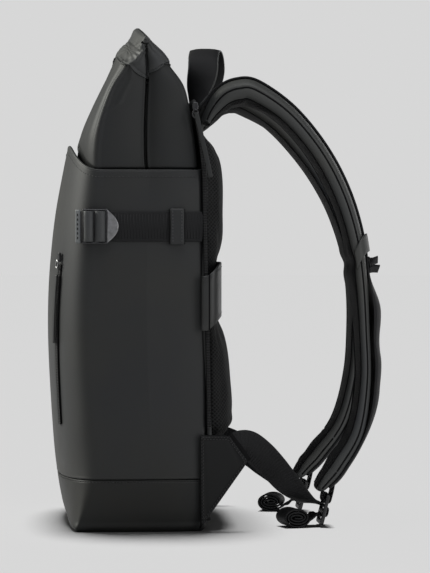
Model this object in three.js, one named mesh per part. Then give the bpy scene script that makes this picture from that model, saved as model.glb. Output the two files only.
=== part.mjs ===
// A roll-top backpack, standing on its base with its shoulder straps hanging free behind it.
// Millimetres, +Z up. -Y is the front of the bag, +Y the side that lies on the wearer's back, and +X the
// wearer's right. The origin is the middle of the flat underside of the base.

import * as THREE from "three";

// Driving dimensions
const GAP = 0.4; // clearance between neighbouring pieces
const CLOTH = 2.2; // coated cloth wall
const PANEL = 2.6; // stiffened back panel
const WEB_WIDTH = 28;
const WEB_THICK = 1.6;
const SEAM_HEIGHT = 50; // seam between the base and the upper body
const SIDE_STRAP_HEIGHT = 285;
const STRAP_BUCKLE_X = 90;
const FRONT_ZIP_X = 110;

// How finely the outlines are divided
const BACK_STEPS = 4;
const CORNER_STEPS = 2;
const FRONT_STEPS = 8;
const PAD_STEPS = 12;
const SECTION_STEPS = 14;
const STRAP_STEPS = 34;
const STRIP_STEPS = 30;
const WEBBING_STEPS = 3; // steps between two rows of the lower webbing
const ROLL_STEPS = 11; // steps in each turn of a rolled webbing end

const BACK_CORNER = 5;
const EDGE_ARCH = 3; // how squarely an upper edge arches between the corners

// Level outlines of the body: half width, front and back faces, how deep and how square the front corners
// are, and how deep the pleat in each side is.
const BODY = [
  { z: 0, half: 133, front: -66, back: 52, round: 38, square: 2.4, pleat: 0 },
  { z: 4, half: 137, front: -71.5, back: 55, round: 39, square: 2.4, pleat: 0 },
  { z: 10, half: 138.5, front: -74, back: 55.8, round: 40, square: 2.4, pleat: 0 },
  { z: 30, half: 141.5, front: -79, back: 56.3, round: 40, square: 2.4, pleat: 0 },
  { z: 50, half: 144, front: -82.5, back: 56.5, round: 40, square: 2.4, pleat: 0 },
  { z: 100, half: 145, front: -87.2, back: 56.5, round: 42, square: 2.4, pleat: -1 },
  { z: 195, half: 145, front: -91.3, back: 55, round: 42, square: 2.4, pleat: -1.5 },
  { z: 250, half: 145, front: -89.3, back: 53.5, round: 42, square: 2.4, pleat: -1 },
  { z: 300, half: 144.5, front: -84.1, back: 52.5, round: 41, square: 2.5, pleat: 0 },
  { z: 340, half: 144, front: -76.6, back: 51.5, round: 38, square: 2.7, pleat: 2 },
  { z: 364, half: 143.5, front: -71.7, back: 51, round: 36, square: 2.8, pleat: 2 },
];
const SHELL_FOOT = { side: SEAM_HEIGHT + GAP, front: SEAM_HEIGHT + GAP, back: SEAM_HEIGHT + GAP };
const SHELL_RIM = { side: 337, front: 364, back: 341 };
const SHELL_SHARES = [0, 0.18, 0.36, 0.52, 0.68, 0.82, 0.93, 1];
const TUB_HEIGHTS = [0, 4, 10, 30, SEAM_HEIGHT];

// Level outlines of the cloth that stands up inside the rim and narrows towards the folded top
const COLLAR = [
  { z: 262, half: 141.8, front: -85.2, back: 50.2, round: 42, square: 2.4, pleat: 0 },
  { z: 267, half: 141.6, front: -73, back: 49.9, round: 40, square: 2.4, pleat: 0.5 },
  { z: 312, half: 141.3, front: -66.5, back: 49.2, round: 38, square: 2.4, pleat: 5 },
  { z: 340, half: 141, front: -63, back: 48.6, round: 35, square: 2.5, pleat: 9 },
  { z: 368, half: 140.5, front: -61, back: 46, round: 32, square: 2.8, pleat: 12 },
  { z: 398, half: 140, front: -50, back: 41, round: 26, square: 3.2, pleat: 14 },
  { z: 418, half: 139.6, front: -40.5, back: 35, round: 23, square: 3.2, pleat: 15 },
  { z: 436, half: 139.2, front: -32, back: 22.5, round: 20, square: 3, pleat: 15 },
  { z: 446, half: 139, front: -27, back: 16, round: 18, square: 3, pleat: 15 },
];
const COLLAR_FOOT = { side: 262, front: 262, back: 262 };
const COLLAR_RIM = { side: 424.6, front: 445.6, back: 435.6 };
const COLLAR_SHARES = [0, 0.03, 0.28, 0.45, 0.6, 0.74, 0.87, 1];

// The folded top, by how far each level has risen from its lower edge, which carries on from the cloth below,
// to its ridge
const CAP_FOOT = { side: COLLAR_RIM.side + GAP, front: COLLAR_RIM.front + GAP, back: COLLAR_RIM.back + GAP };
const CAP_PROUD = 1.4; // how far its lower edge stands proud of the cloth below
const CAP_RIDGE = { side: 462, front: 482, back: 482 };
const CAP = [
  { rise: 0.2, half: 140.6, front: -27.6, back: 22.5, round: 17, square: 3, pleat: 14 },
  { rise: 0.38, half: 140.4, front: -24, back: 18.5, round: 15, square: 3, pleat: 12 },
  { rise: 0.55, half: 140, front: -18, back: 14.5, round: 12, square: 3, pleat: 10 },
  { rise: 0.72, half: 139, front: -10.5, back: 10, round: 9, square: 3, pleat: 7 },
  { rise: 0.86, half: 138, front: -7, back: 6.4, round: 6, square: 3, pleat: 4 },
  { rise: 1, half: 136.5, front: -3.6, back: 2.4, round: 3, square: 3, pleat: 1 },
];
const CAP_INNER_LEVELS = 5; // levels of this table that have an inner wall

// Where the side of an outline folds: share of the way from back to front, and share of the pleat's depth
const PLEAT = [
  { along: 0, fold: 0 },
  { along: 0.28, fold: 0.02 },
  { along: 0.44, fold: 0.16 },
  { along: 0.51, fold: 0.6 },
  { along: 0.55, fold: 1 },
  { along: 0.59, fold: 0.6 },
  { along: 0.67, fold: 0.16 },
  { along: 0.84, fold: 0.02 },
  { along: 1, fold: 0 },
];

// Stiffened panel on the wearer's side: half width and outer face
const BACK_PANEL = [
  { z: 10, half: 134, face: 59.6 },
  { z: 50, half: 141, face: 60 },
  { z: 100, half: 142, face: 60 },
  { z: 195, half: 142, face: 58.6 },
  { z: 250, half: 142, face: 57.2 },
  { z: 300, half: 141.5, face: 56.2 },
  { z: 340, half: 141, face: 55.2 },
  { z: 370, half: 140, face: 51.6 },
  { z: 396, half: 137, face: 47 },
  { z: 404, half: 128, face: 45.6 },
];

// Padding on the back panel, which is pinched where the luggage band crosses it
const UPPER_PAD = [
  { z: 225, half: 119, depth: 12.6 },
  { z: 244, half: 121, depth: 13 },
  { z: 262, half: 124, depth: 14 },
  { z: 300, half: 125, depth: 19 },
  { z: 336, half: 124, depth: 19.5 },
  { z: 357, half: 122, depth: 18.5 },
  { z: 369, half: 118, depth: 14.5 },
  { z: 374, half: 112, depth: 7 },
];
const LOWER_PAD = [
  { z: 92, half: 108, depth: 16 },
  { z: 97, half: 116, depth: 23 },
  { z: 112, half: 122, depth: 25.5 },
  { z: 140, half: 125, depth: 24 },
  { z: 168, half: 124, depth: 21.5 },
  { z: 186, half: 122, depth: 18 },
  { z: 200, half: 120, depth: 13 },
  { z: 224.4, half: 119, depth: 12.4 },
];
const PAD_SQUARE = 3.2;

const LUGGAGE_BAND_HEIGHT = 51;
const LUGGAGE_BAND = [
  { x: 148.2, y: 49, z: 215 },
  { x: 148.2, y: 55, z: 216 },
  { x: 145.8, y: 63, z: 219 },
  { x: 136, y: 70, z: 223 },
  { x: 117, y: 73.6, z: 226 },
  { x: 60, y: 74.4, z: 227 },
  { x: 0, y: 74.6, z: 227 },
];

// Grab handle: the webbing lies flat on the panel at each end and turns a quarter round towards its top
const HANDLE = [
  { x: 26, y: 52.4, z: 377, turn: 0 },
  { x: 26, y: 50.6, z: 388, turn: 0 },
  { x: 26, y: 51.6, z: 404, turn: 15 },
  { x: 27, y: 56, z: 420, turn: 50 },
  { x: 27, y: 60, z: 438, turn: 82 },
  { x: 20, y: 61.5, z: 453, turn: 90 },
  { x: 5, y: 63, z: 460, turn: 90 },
  { x: -10, y: 65, z: 459, turn: 90 },
  { x: -22, y: 66.5, z: 452, turn: 90 },
  { x: -28, y: 66, z: 438, turn: 98 },
  { x: -28, y: 61, z: 420, turn: 130 },
  { x: -26, y: 53, z: 404, turn: 165 },
  { x: -26, y: 50.6, z: 388, turn: 180 },
  { x: -26, y: 52.4, z: 377, turn: 180 },
];
const HANDLE_STEPS = 36;

// Padded shoulder strap, from its root on the back panel round to its lower tip
const STRAP = [
  { x: 62, y: 60, z: 385, wide: 52, thick: 8 },
  { x: 62, y: 67, z: 398, wide: 55, thick: 16 },
  { x: 63, y: 78, z: 410.5, wide: 59, thick: 20 },
  { x: 64, y: 91.5, z: 416.5, wide: 61, thick: 21 },
  { x: 65, y: 107, z: 414.5, wide: 62, thick: 21 },
  { x: 67, y: 137.5, z: 392.5, wide: 62, thick: 20.5 },
  { x: 70, y: 165.5, z: 358.5, wide: 62, thick: 20 },
  { x: 73, y: 186, z: 320.5, wide: 62, thick: 19.5 },
  { x: 76, y: 199.5, z: 279, wide: 61, thick: 18 },
  { x: 79, y: 206, z: 236, wide: 60, thick: 15.5 },
  { x: 82, y: 208.8, z: 187, wide: 59, thick: 13.5 },
  { x: 85, y: 209.6, z: 139, wide: 58, thick: 13 },
  { x: 88, y: 202, z: 91.5, wide: 55, thick: 13 },
  { x: 90, y: 184, z: 59.5, wide: 50, thick: 12.5 },
  { x: 90, y: 173.5, z: 45.5, wide: 46, thick: 11 },
  { x: 90, y: 165, z: 34.5, wide: 38, thick: 7 },
];
// How much further in (x) and out (y) a strap hangs, along its length
const RIGHT_HANG = [{ x: 0, y: 0 }, { x: 0, y: 0 }];
const LEFT_HANG = [
  { x: 0, y: 0 },
  { x: 0, y: 0 },
  { x: 0, y: 0 },
  { x: -1, y: 2 },
  { x: -4, y: 9 },
  { x: -10, y: 12 },
  { x: -17, y: 5 },
  { x: -23, y: -4 },
  { x: -26, y: -6 },
];
const STRAP_SQUARE = 2.7;

// Flat strip sewn down the outer face of the strap, from and to a share of the strap's length, and the places
// where it bows off the face
const STRIP = { from: 0.06, to: 0.955 };
const STRIP_BOWS = [
  { middle: 0.645, reach: 0.055, height: 10 },
  { middle: 0.695, reach: 0.05, height: 5 },
  { middle: 0.745, reach: 0.08, height: 7.5 },
];
const STRIP_WIDTH = 26;
const STRIP_LIFT = 0.8; // clears the crown of the strap between two steps of its length

// Leather cuff that carries the chest tab
const CUFF_ALONG = 0.567;
const CUFF_SPAN = 0.026;
const CUFF_SLANT = 0.022; // how much higher the cuff runs on the outer face than on the inner one
const CUFF_CLEAR = 3.4; // room for the strip under the cuff
const CUFF_STEPS = 3;
const CHEST_TAB = { width: 20, reach: 10, opening: 5.4, along: 0.588 };

// Triangular side wings that hold the lower webbing
const WING_CORNERS = [
  { x: 149, y: 50, z: 91 },
  { x: 136, y: 79, z: 91.5 },
  { x: 131, y: 97.5, z: 65.5 },
  { x: 144.5, y: 57.5, z: 10 },
];
const WING_THICK = 2.4;

// Ladder buckle at the strap's tip, along its own length from the free lever up to the strap's bar
const LADDER = { bottom: -15, top: 15, width: 38, slotWidth: 30.5, thick: 3.6, corner: 4 };
const LADDER_SLOTS = [
  { from: -10.5, to: -4.2 },
  { from: -0.8, to: 8.6 },
];
const BUCKLE_CENTRE = { y: 171.2, z: 17 };
const BUCKLE_LEAN = THREE.MathUtils.degToRad(13.5); // top leans away from the bag
const TAB_WIDTH = 29;
const TAB_THICK = 1.4;
// Loop of the strap's end tab round the buckle's top bar: along the buckle, and off its middle plane
const END_TAB = [
  { along: 24, off: -3.6 },
  { along: 18, off: -3.8 },
  { along: 9.2, off: -3.6 },
  { along: 6.8, off: -2.2 },
  { along: 6.2, off: 0 },
  { along: 6.8, off: 2.2 },
  { along: 9.2, off: 3.4 },
  { along: 16, off: 3.6 },
];

// Webbing from each wing to its buckle, as on the right: centre line, and the direction of its width
const RIGHT_WEBBING = [
  { x: 130.5, y: 82, z: 75, wx: 0.12, wy: -0.59, wz: 0.8 },
  { x: 127.5, y: 88, z: 79.5, wx: 0.12, wy: -0.5, wz: 0.86 },
  { x: 124, y: 97, z: 79.5, wx: 0.1, wy: -0.05, wz: 1 },
  { x: 120.5, y: 108, z: 71.5, wx: 0.15, wy: 0.3, wz: 0.94 },
  { x: 116, y: 121, z: 58.5, wx: 0.4, wy: 0.52, wz: 0.75 },
  { x: 110, y: 135, z: 42.5, wx: 0.6, wy: 0.53, wz: 0.6 },
  { x: 103.5, y: 146.5, z: 31, wx: 0.82, wy: 0.38, wz: 0.42 },
  { x: 97, y: 155, z: 24.4, wx: 0.95, wy: 0.2, wz: 0.25 },
];
const LEFT_WEBBING = [
  { x: 130.5, y: 82, z: 75, wx: 0.12, wy: -0.59, wz: 0.8 },
  { x: 127, y: 88, z: 76, wx: 0.12, wy: -0.45, wz: 0.88 },
  { x: 122, y: 96, z: 71, wx: 0.15, wy: 0, wz: 0.99 },
  { x: 115, y: 107, z: 63, wx: 0.25, wy: 0.3, wz: 0.92 },
  { x: 106, y: 119, z: 53.5, wx: 0.45, wy: 0.45, wz: 0.77 },
  { x: 95, y: 131, z: 42.5, wx: 0.65, wy: 0.45, wz: 0.6 },
  { x: 84, y: 142, z: 31.5, wx: 0.85, wy: 0.3, wz: 0.4 },
  { x: 74, y: 150, z: 24.5, wx: 0.96, wy: 0.15, wz: 0.2 },
];
// Its way through the buckle: up through the upper slot, over the middle bar and down through the lower one
const THREADING = [
  { along: 3.2, off: 6 },
  { along: 2.6, off: 0 },
  { along: 1.4, off: -3.1 },
  { along: -2.2, off: -3.7 },
  { along: -5.8, off: -3.1 },
  { along: -6.8, off: 0 },
];
const TAIL_START = { along: -8.4, off: 3.4 };

// The free end of that webbing, rolled up on the floor
const ROLL = { x: 97, y: 141.5, z: 9.7, inner: 4.2, outer: 12.9, flat: 3.6, turns: 3.3, end: -20, yaw: 14 };
const ROLL_TAIL = [
  { x: 92, y: 158.5, z: 9.2, turn: 5 },
  { x: 90, y: 163, z: 12, turn: 1 },
];

// Side compression strap: pieces along Y at the strap's height, and how high they stand off the side
const SIDE_BUCKLE = { front: -59, back: -25.5, width: 34.5, slotWidth: 30, thick: 2.4, lift: 2.6 };
const SIDE_SLOTS = [
  { from: -55.5, to: -48 },
  { from: -44, to: -37.5 },
];
const SIDE_ANCHOR = [
  { y: -67, off: 3.8 },
  { y: -62, off: 3.3 },
  { y: -57.5, off: 3 },
  { y: -54.2, off: 4.4 },
  { y: -53.4, off: 6.4 },
  { y: -54.2, off: 8.6 },
  { y: -58, off: 10.9 },
  { y: -61.5, off: 11.8 },
  { y: -64.5, off: 9.4 },
  { y: -67.5, off: 7.6 },
];
const SIDE_STRAP = [
  { y: 47, off: 1.6 },
  { y: 0, off: 1.6 },
  { y: -36, off: 1.5 },
  { y: -40.2, off: 2 },
  { y: -41.4, off: 4 },
  { y: -42.4, off: 6 },
  { y: -46, off: 6.7 },
  { y: -49.4, off: 6.2 },
  { y: -50.2, off: 4 },
  { y: -50.4, off: 2.4 },
];
const SIDE_KEEPER_Y = 29;
const SIDE_KEEPER_WIDTH = 12.5;
const SIDE_KEEPER = [
  { rise: 19.5, off: 1.3 },
  { rise: 17, off: 1.8 },
  { rise: 14.8, off: 4.1 },
  { rise: 0, off: 4.8 },
  { rise: -14.8, off: 4.1 },
  { rise: -17, off: 1.8 },
  { rise: -19.5, off: 1.3 },
];

// Zips: their ends, and the soft strips that hang from their sliders
const FRONT_ZIP = { top: 250, bottom: 99, width: 7, steps: 8 };
const BACK_ZIP = { top: 394, bottom: 98, width: 4.4 };
const ZIP_THICK = 1.4;
const SLIDER = { width: 8, length: 13, thick: 3.2, waist: 5 };
const FRONT_PULL = { top: 240, bottom: 176, width: 4.4, thick: 1.6, off: 4.4, swing: 3 };
const BACK_PULL = [
  { x: 149.5, y: 46.5, z: 391 },
  { x: 149.5, y: 50.5, z: 374 },
  { x: 150, y: 55.5, z: 352 },
  { x: 150.2, y: 60, z: 331 },
];
const BACK_PULL_WIDTH = 4.2;

// Finishes
function finish(color, roughness, metalness = 0) {
  return new THREE.MeshStandardMaterial({ color, roughness, metalness });
}

const COATED = finish(0x2f3130, 0.55);
const WEBBING = finish(0x1c1d1f, 0.85);
const MESH = finish(0x151617, 0.95);
const METAL = finish(0x6b6c6d, 0.4, 0.9);
const PLASTIC = finish(0x1a1b1c, 0.5);
const ZIPPER = finish(0x161718, 0.6);

const lerp = THREE.MathUtils.lerp;
const vector = (x, y, z) => new THREE.Vector3(x, y, z);
// A power that keeps its sign, which makes a superellipse of a sine or a cosine
const power = (value, square) => Math.sign(value) * Math.abs(value) ** (2 / square);

// Reads a table between two of its rows, column by column
function blendRows(low, high, share) {
  const names = Object.keys(low);
  return Object.fromEntries(names.map((name) => [name, lerp(low[name], high[name], share)]));
}

// Reads a table at any height
function atHeight(table, z) {
  const last = table.length - 1;
  const upper = table.findIndex((row) => row.z >= z);
  if (upper === 0) return { ...table[0], z };
  if (upper === -1) return { ...table[last], z };
  const low = table[upper - 1];
  const high = table[upper];
  return blendRows(low, high, (z - low.z) / (high.z - low.z));
}

// Reads a table as a smooth curve, with every column passing through its rows; share runs from 0 to 1
function alongTable(table, share) {
  const last = table.length - 1;
  const place = THREE.MathUtils.clamp(share, 0, 1) * last;
  const row = Math.min(Math.floor(place), last - 1);
  const t = place - row;
  const names = Object.keys(table[0]);
  const smooth = (name) => {
    const start = table[row][name];
    const end = table[row + 1][name];
    const startSlope = (end - table[Math.max(row - 1, 0)][name]) / 2;
    const endSlope = (table[Math.min(row + 2, last)][name] - start) / 2;
    const cubic = 2 * start - 2 * end + startSlope + endSlope;
    const square = -3 * start + 3 * end - 2 * startSlope - endSlope;
    return ((cubic * t + square) * t + startSlope) * t + start;
  };
  return Object.fromEntries(names.map((name) => [name, smooth(name)]));
}

// Evenly spread readings of a smooth table
function readings(table, steps) {
  return Array.from({ length: steps + 1 }, (_, step) => alongTable(table, step / steps));
}

// Triangles that fill a ring, turning the same way as the ring does
function lid(ring) {
  const normal = vector(0, 0, 0);
  ring.forEach((point, k) => {
    const next = ring[(k + 1) % ring.length];
    normal.add(point.clone().cross(next));
  });
  const size = { x: Math.abs(normal.x), y: Math.abs(normal.y), z: Math.abs(normal.z) };
  let axes = ["x", "y"];
  if (size.y > size.z && size.y >= size.x) axes = ["z", "x"];
  if (size.x > size.z && size.x > size.y) axes = ["y", "z"];
  const flat = ring.map((point) => new THREE.Vector2(point[axes[0]], point[axes[1]]));
  const forwards = THREE.ShapeUtils.area(flat) > 0;
  return THREE.ShapeUtils.triangulateShape(flat, []).map(([a, b, c]) => {
    const turnsForwards = THREE.ShapeUtils.area([flat[a], flat[b], flat[c]]) > 0;
    return turnsForwards === forwards ? [a, b, c] : [c, b, a];
  });
}

// Joins rings of equally many points into one closed body. A looped list of rings closes on itself, and an
// open one gets a lid at each end.
function skin(rings, looped = false) {
  const count = rings[0].length;
  const triangles = [];
  const bands = looped ? rings.length : rings.length - 1;
  for (let band = 0; band < bands; band++) {
    const low = band * count;
    const high = ((band + 1) % rings.length) * count;
    for (let k = 0; k < count; k++) {
      const next = (k + 1) % count;
      triangles.push([low + k, low + next, high + next], [low + k, high + next, high + k]);
    }
  }
  if (!looped) {
    const top = (rings.length - 1) * count;
    lid(rings[0]).forEach(([a, b, c]) => triangles.push([c, b, a]));
    lid(rings.at(-1)).forEach(([a, b, c]) => triangles.push([top + a, top + b, top + c]));
  }
  return facedOut(rings.flat(), triangles);
}

// A geometry whose triangles all face out, whichever way its rings were wound
function facedOut(points, triangles) {
  const volume = triangles.reduce((sum, [a, b, c]) => {
    return sum + points[a].dot(points[b].clone().cross(points[c]));
  }, 0);
  const facing = volume > 0 ? triangles : triangles.map(([a, b, c]) => [c, b, a]);
  const geometry = new THREE.BufferGeometry().setFromPoints(points);
  geometry.setIndex(facing.flat());
  geometry.computeVertexNormals();
  return geometry;
}

// The right half of a level outline, from the middle of the back to the middle of the front. Each point also
// says how much of the front's and of the back's arch it takes.
function halfOutline({ half, front, back, round, square, pleat }) {
  const depth = back - front;
  const corner = Math.min(BACK_CORNER, depth / 4);
  const sweep = Math.min(round, depth / 2);
  const points = [];
  for (let step = 0; step < BACK_STEPS; step++) {
    const x = ((half - corner) * step) / BACK_STEPS;
    points.push({ x, y: back, frontShare: 0, backShare: 1 - (x / half) ** EDGE_ARCH });
  }
  for (let step = 0; step < CORNER_STEPS; step++) {
    const turn = (Math.PI / 2) * (step / CORNER_STEPS);
    const x = half - corner + corner * Math.sin(turn);
    const y = back - corner + corner * Math.cos(turn);
    points.push({ x, y, frontShare: 0, backShare: 1 - (x / half) ** EDGE_ARCH });
  }
  for (const { along, fold } of PLEAT) {
    const y = lerp(back - corner, front + sweep, along);
    points.push({ x: half - pleat * fold, y, frontShare: 0, backShare: 0 });
  }
  for (let step = 1; step <= FRONT_STEPS; step++) {
    const turn = (Math.PI / 2) * (step / FRONT_STEPS);
    const x = step === FRONT_STEPS ? 0 : half * power(Math.cos(turn), square);
    const y = front + sweep - sweep * power(Math.sin(turn), square);
    points.push({ x, y, frontShare: 1 - (x / half) ** EDGE_ARCH, backShare: 0 });
  }
  return points;
}

function outline(level) {
  const rightHalf = halfOutline(level);
  const leftHalf = rightHalf.slice(1, -1).reverse();
  return [...rightHalf, ...leftHalf.map((point) => ({ ...point, x: -point.x }))];
}

const thinned = (level, inset) => ({
  ...level,
  half: level.half - inset,
  front: level.front + inset,
  back: level.back - inset,
});

// One ring round the bag whose height follows an arched edge; levelOf gives the outline at each height
function ring(edge, levelOf, inset = 0) {
  return outline(levelOf(edge.side)).map((guide, k) => {
    const arch = (edge.front - edge.side) * guide.frontShare + (edge.back - edge.side) * guide.backShare;
    const z = edge.side + arch;
    const point = outline(thinned(levelOf(z), inset))[k];
    return vector(point.x, point.y, z);
  });
}

const flatEdge = (z) => ({ side: z, front: z, back: z });
const bodyAt = (z) => atHeight(BODY, z);
const collarAt = (z) => atHeight(COLLAR, z);
const backFace = (z) => atHeight(BACK_PANEL, z).face;

// A cloth wall: up the outside, over the edge and down the inside
function wall(edges, levelOf) {
  const outside = edges.map((edge) => ring(edge, levelOf));
  const inside = edges.map((edge) => ring(edge, levelOf, CLOTH)).reverse();
  return skin([...outside, ...inside], true);
}

function baseTub() {
  const outside = TUB_HEIGHTS.map((z) => ring(flatEdge(z), bodyAt));
  const inside = TUB_HEIGHTS.map((z) => ring(flatEdge(Math.max(z, CLOTH)), bodyAt, CLOTH)).reverse();
  inside.splice(-1, 1);
  return skin([...outside, ...inside]);
}

function mainShell() {
  return wall(SHELL_SHARES.map((share) => blendRows(SHELL_FOOT, SHELL_RIM, share)), bodyAt);
}

function rollCollar() {
  return wall(COLLAR_SHARES.map((share) => blendRows(COLLAR_FOOT, COLLAR_RIM, share)), collarAt);
}

function rollCap() {
  const level = (row, inset) => ring(blendRows(CAP_FOOT, CAP_RIDGE, row.rise), () => row, inset);
  const foot = (inset) => ring(CAP_FOOT, (z) => thinned(collarAt(z), -CAP_PROUD), inset);
  const outside = [foot(0), ...CAP.map((row) => level(row, 0))];
  const innerRows = CAP.slice(0, CAP_INNER_LEVELS);
  const inside = [foot(CLOTH), ...innerRows.map((row) => level(row, CLOTH))].reverse();
  return skin([...inside, ...outside]);
}

function backPanel() {
  return skin(BACK_PANEL.map(({ z, half, face }) => [
    vector(half, face - PANEL, z),
    vector(half, face, z),
    vector(-half, face, z),
    vector(-half, face - PANEL, z),
  ]));
}

function backPad(table) {
  return skin(table.map(({ z, half, depth }) => {
    return Array.from({ length: PAD_STEPS + 1 }, (_, step) => {
      const turn = Math.PI * (step / PAD_STEPS);
      const x = half * power(Math.cos(turn), PAD_SQUARE);
      const rise = step === 0 || step === PAD_STEPS ? 0 : depth * power(Math.sin(turn), PAD_SQUARE);
      return vector(x, backFace(z) + GAP + rise, z);
    });
  }));
}

// Sections that are swept along a path, in shares of the half width and the half thickness
const FLAT_SECTION = [[1, 1], [-1, 1], [-1, -1], [1, -1]];
const STRAP_SECTION = Array.from({ length: SECTION_STEPS }, (_, step) => {
  const turn = 2 * Math.PI * (step / SECTION_STEPS);
  return [power(Math.cos(turn), STRAP_SQUARE), power(Math.sin(turn), STRAP_SQUARE)];
});

// Turns a list of stations, each a place and a rough width direction, into square frames: outwards is the
// side that a strap over the shoulder turns away from the wearer.
function frames(stations) {
  return stations.map((station, k) => {
    const before = stations[Math.max(k - 1, 0)].at;
    const after = stations[Math.min(k + 1, stations.length - 1)].at;
    const ahead = after.clone().sub(before).normalize();
    const across = station.across.clone().addScaledVector(ahead, -station.across.dot(ahead)).normalize();
    return { ...station, across, outwards: across.clone().cross(ahead) };
  });
}

function sectionRing({ at, across, outwards, halfWidth, halfThick }, section) {
  return section.map(([u, v]) => {
    return at.clone().addScaledVector(across, u * halfWidth).addScaledVector(outwards, v * halfThick);
  });
}

function ribbon(stations, width, thick) {
  const sized = stations.map((station) => ({ ...station, halfWidth: width / 2, halfThick: thick / 2 }));
  return skin(frames(sized).map((station) => sectionRing(station, FLAT_SECTION)));
}

function luggageBand() {
  const leftRows = LUGGAGE_BAND.slice(0, -1).reverse().map((row) => ({ ...row, x: -row.x }));
  const rows = [...LUGGAGE_BAND, ...leftRows];
  const stations = rows.map(({ x, y, z }) => ({ at: vector(x, y, z), across: vector(0, 0, 1) }));
  return ribbon(stations, LUGGAGE_BAND_HEIGHT, CLOTH);
}

function grabHandle() {
  const stations = readings(HANDLE, HANDLE_STEPS).map(({ x, y, z, turn }) => {
    const angle = THREE.MathUtils.degToRad(turn);
    return { at: vector(x, y, z), across: vector(Math.cos(angle), Math.sin(angle), 0) };
  });
  return ribbon(stations, WEB_WIDTH, WEB_THICK);
}

function hangAt(hang, share) {
  const { x, y } = alongTable(hang, share);
  return vector(x, y, 0);
}

// A place on a shoulder strap's middle line, with the strap's directions there
function strapFrame(share, hang) {
  const nearby = 0.5 / STRAP_STEPS;
  const places = [share - nearby, share, share + nearby].map((value) => {
    const { x, y, z, wide, thick } = alongTable(STRAP, value);
    const at = vector(x, y, z).add(hangAt(hang, value));
    return { at, across: vector(1, 0, 0), halfWidth: wide / 2, halfThick: thick / 2 };
  });
  return frames(places)[1];
}

function shoulderStrap(hang) {
  const rings = [];
  for (let step = 0; step <= STRAP_STEPS; step++) {
    rings.push(sectionRing(strapFrame(step / STRAP_STEPS, hang), STRAP_SECTION));
  }
  return skin(rings);
}

// How far the strip bows off the strap: a sum of smooth humps
function stripBow(along) {
  return STRIP_BOWS.reduce((sum, { middle, reach, height }) => {
    const share = Math.min(Math.abs(along - middle) / reach, 1);
    return sum + height * Math.cos((Math.PI / 2) * share) ** 2;
  }, 0);
}

function strapStrip(hang) {
  const stations = Array.from({ length: STRIP_STEPS + 1 }, (_, step) => {
    const along = lerp(STRIP.from, STRIP.to, step / STRIP_STEPS);
    const { at, across, outwards, halfThick } = strapFrame(along, hang);
    const off = halfThick + STRIP_LIFT + WEB_THICK / 2 + stripBow(along);
    return { at: at.addScaledVector(outwards, off), across };
  });
  return ribbon(stations, STRIP_WIDTH, WEB_THICK);
}

// The cuff follows the strap's section at a distance, and climbs towards the outer face
function strapCuff(hang) {
  const wrap = (along, clear) => STRAP_SECTION.map(([u, v]) => {
    const station = strapFrame(along - CUFF_SLANT * v, hang);
    const { at, across, outwards, halfWidth, halfThick } = station;
    return at
      .addScaledVector(across, u * (halfWidth + clear))
      .addScaledVector(outwards, v * (halfThick + clear));
  });
  const starts = Array.from({ length: CUFF_STEPS + 1 }, (_, step) => {
    return CUFF_ALONG + CUFF_SPAN * (step / CUFF_STEPS - 0.5);
  });
  const outside = starts.map((along) => wrap(along, CUFF_CLEAR + CLOTH));
  const inside = starts.map((along) => wrap(along, CUFF_CLEAR)).reverse();
  return skin([...outside, ...inside], true);
}

// Two layers of webbing that stand out from the cuff, open at their ends
function chestTab() {
  const { width, reach, opening } = CHEST_TAB;
  const profile = new THREE.Shape();
  const outer = opening / 2 + WEB_THICK;
  profile.moveTo(0, -outer);
  profile.lineTo(reach, -outer);
  profile.lineTo(reach, -opening / 2);
  profile.lineTo(WEB_THICK, -opening / 2);
  profile.lineTo(WEB_THICK, opening / 2);
  profile.lineTo(reach, opening / 2);
  profile.lineTo(reach, outer);
  profile.lineTo(0, outer);
  profile.closePath();
  const geometry = new THREE.ExtrudeGeometry(profile, { depth: width, bevelEnabled: false });
  return geometry.translate(0, 0, -width / 2);
}

function chestTabPlace(hang) {
  const { at, across, outwards, halfThick } = strapFrame(CHEST_TAB.along, hang);
  const upwards = across.clone().cross(outwards);
  const place = new THREE.Matrix4().makeBasis(outwards, upwards, outwards.clone().cross(upwards));
  return place.setPosition(at.addScaledVector(outwards, halfThick + STRIP_LIFT + WEB_THICK + GAP));
}

function wing() {
  const corners = WING_CORNERS.map(({ x, y, z }) => vector(x, y, z));
  const [first, second, , last] = corners;
  const inwards = last.clone().sub(first).cross(second.clone().sub(first)).normalize();
  if (inwards.x > 0) inwards.negate();
  return skin([corners, corners.map((corner) => corner.clone().addScaledVector(inwards, WING_THICK))]);
}

// A flat frame with rounded corners and slots across it, in its own X (across) and Y (along)
function ladder({ bottom, top, width, corner, endCorner, slotWidth, slots, thick }) {
  const frame = new THREE.Shape();
  const side = width / 2;
  frame.absarc(side - corner, bottom + corner, corner, -Math.PI / 2, 0);
  frame.absarc(side - endCorner, top - endCorner, endCorner, 0, Math.PI / 2);
  frame.absarc(-side + endCorner, top - endCorner, endCorner, Math.PI / 2, Math.PI);
  frame.absarc(-side + corner, bottom + corner, corner, Math.PI, 1.5 * Math.PI);
  frame.closePath();
  for (const { from, to } of slots) {
    const slot = new THREE.Path();
    slot.moveTo(-slotWidth / 2, from);
    slot.lineTo(-slotWidth / 2, to);
    slot.lineTo(slotWidth / 2, to);
    slot.lineTo(slotWidth / 2, from);
    slot.closePath();
    frame.holes.push(slot);
  }
  return new THREE.ExtrudeGeometry(frame, { depth: thick, bevelEnabled: false, curveSegments: 3 });
}

function strapBuckle() {
  const shape = { ...LADDER, endCorner: LADDER.corner, slots: LADDER_SLOTS };
  return ladder(shape).translate(0, 0, -LADDER.thick / 2);
}

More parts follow.
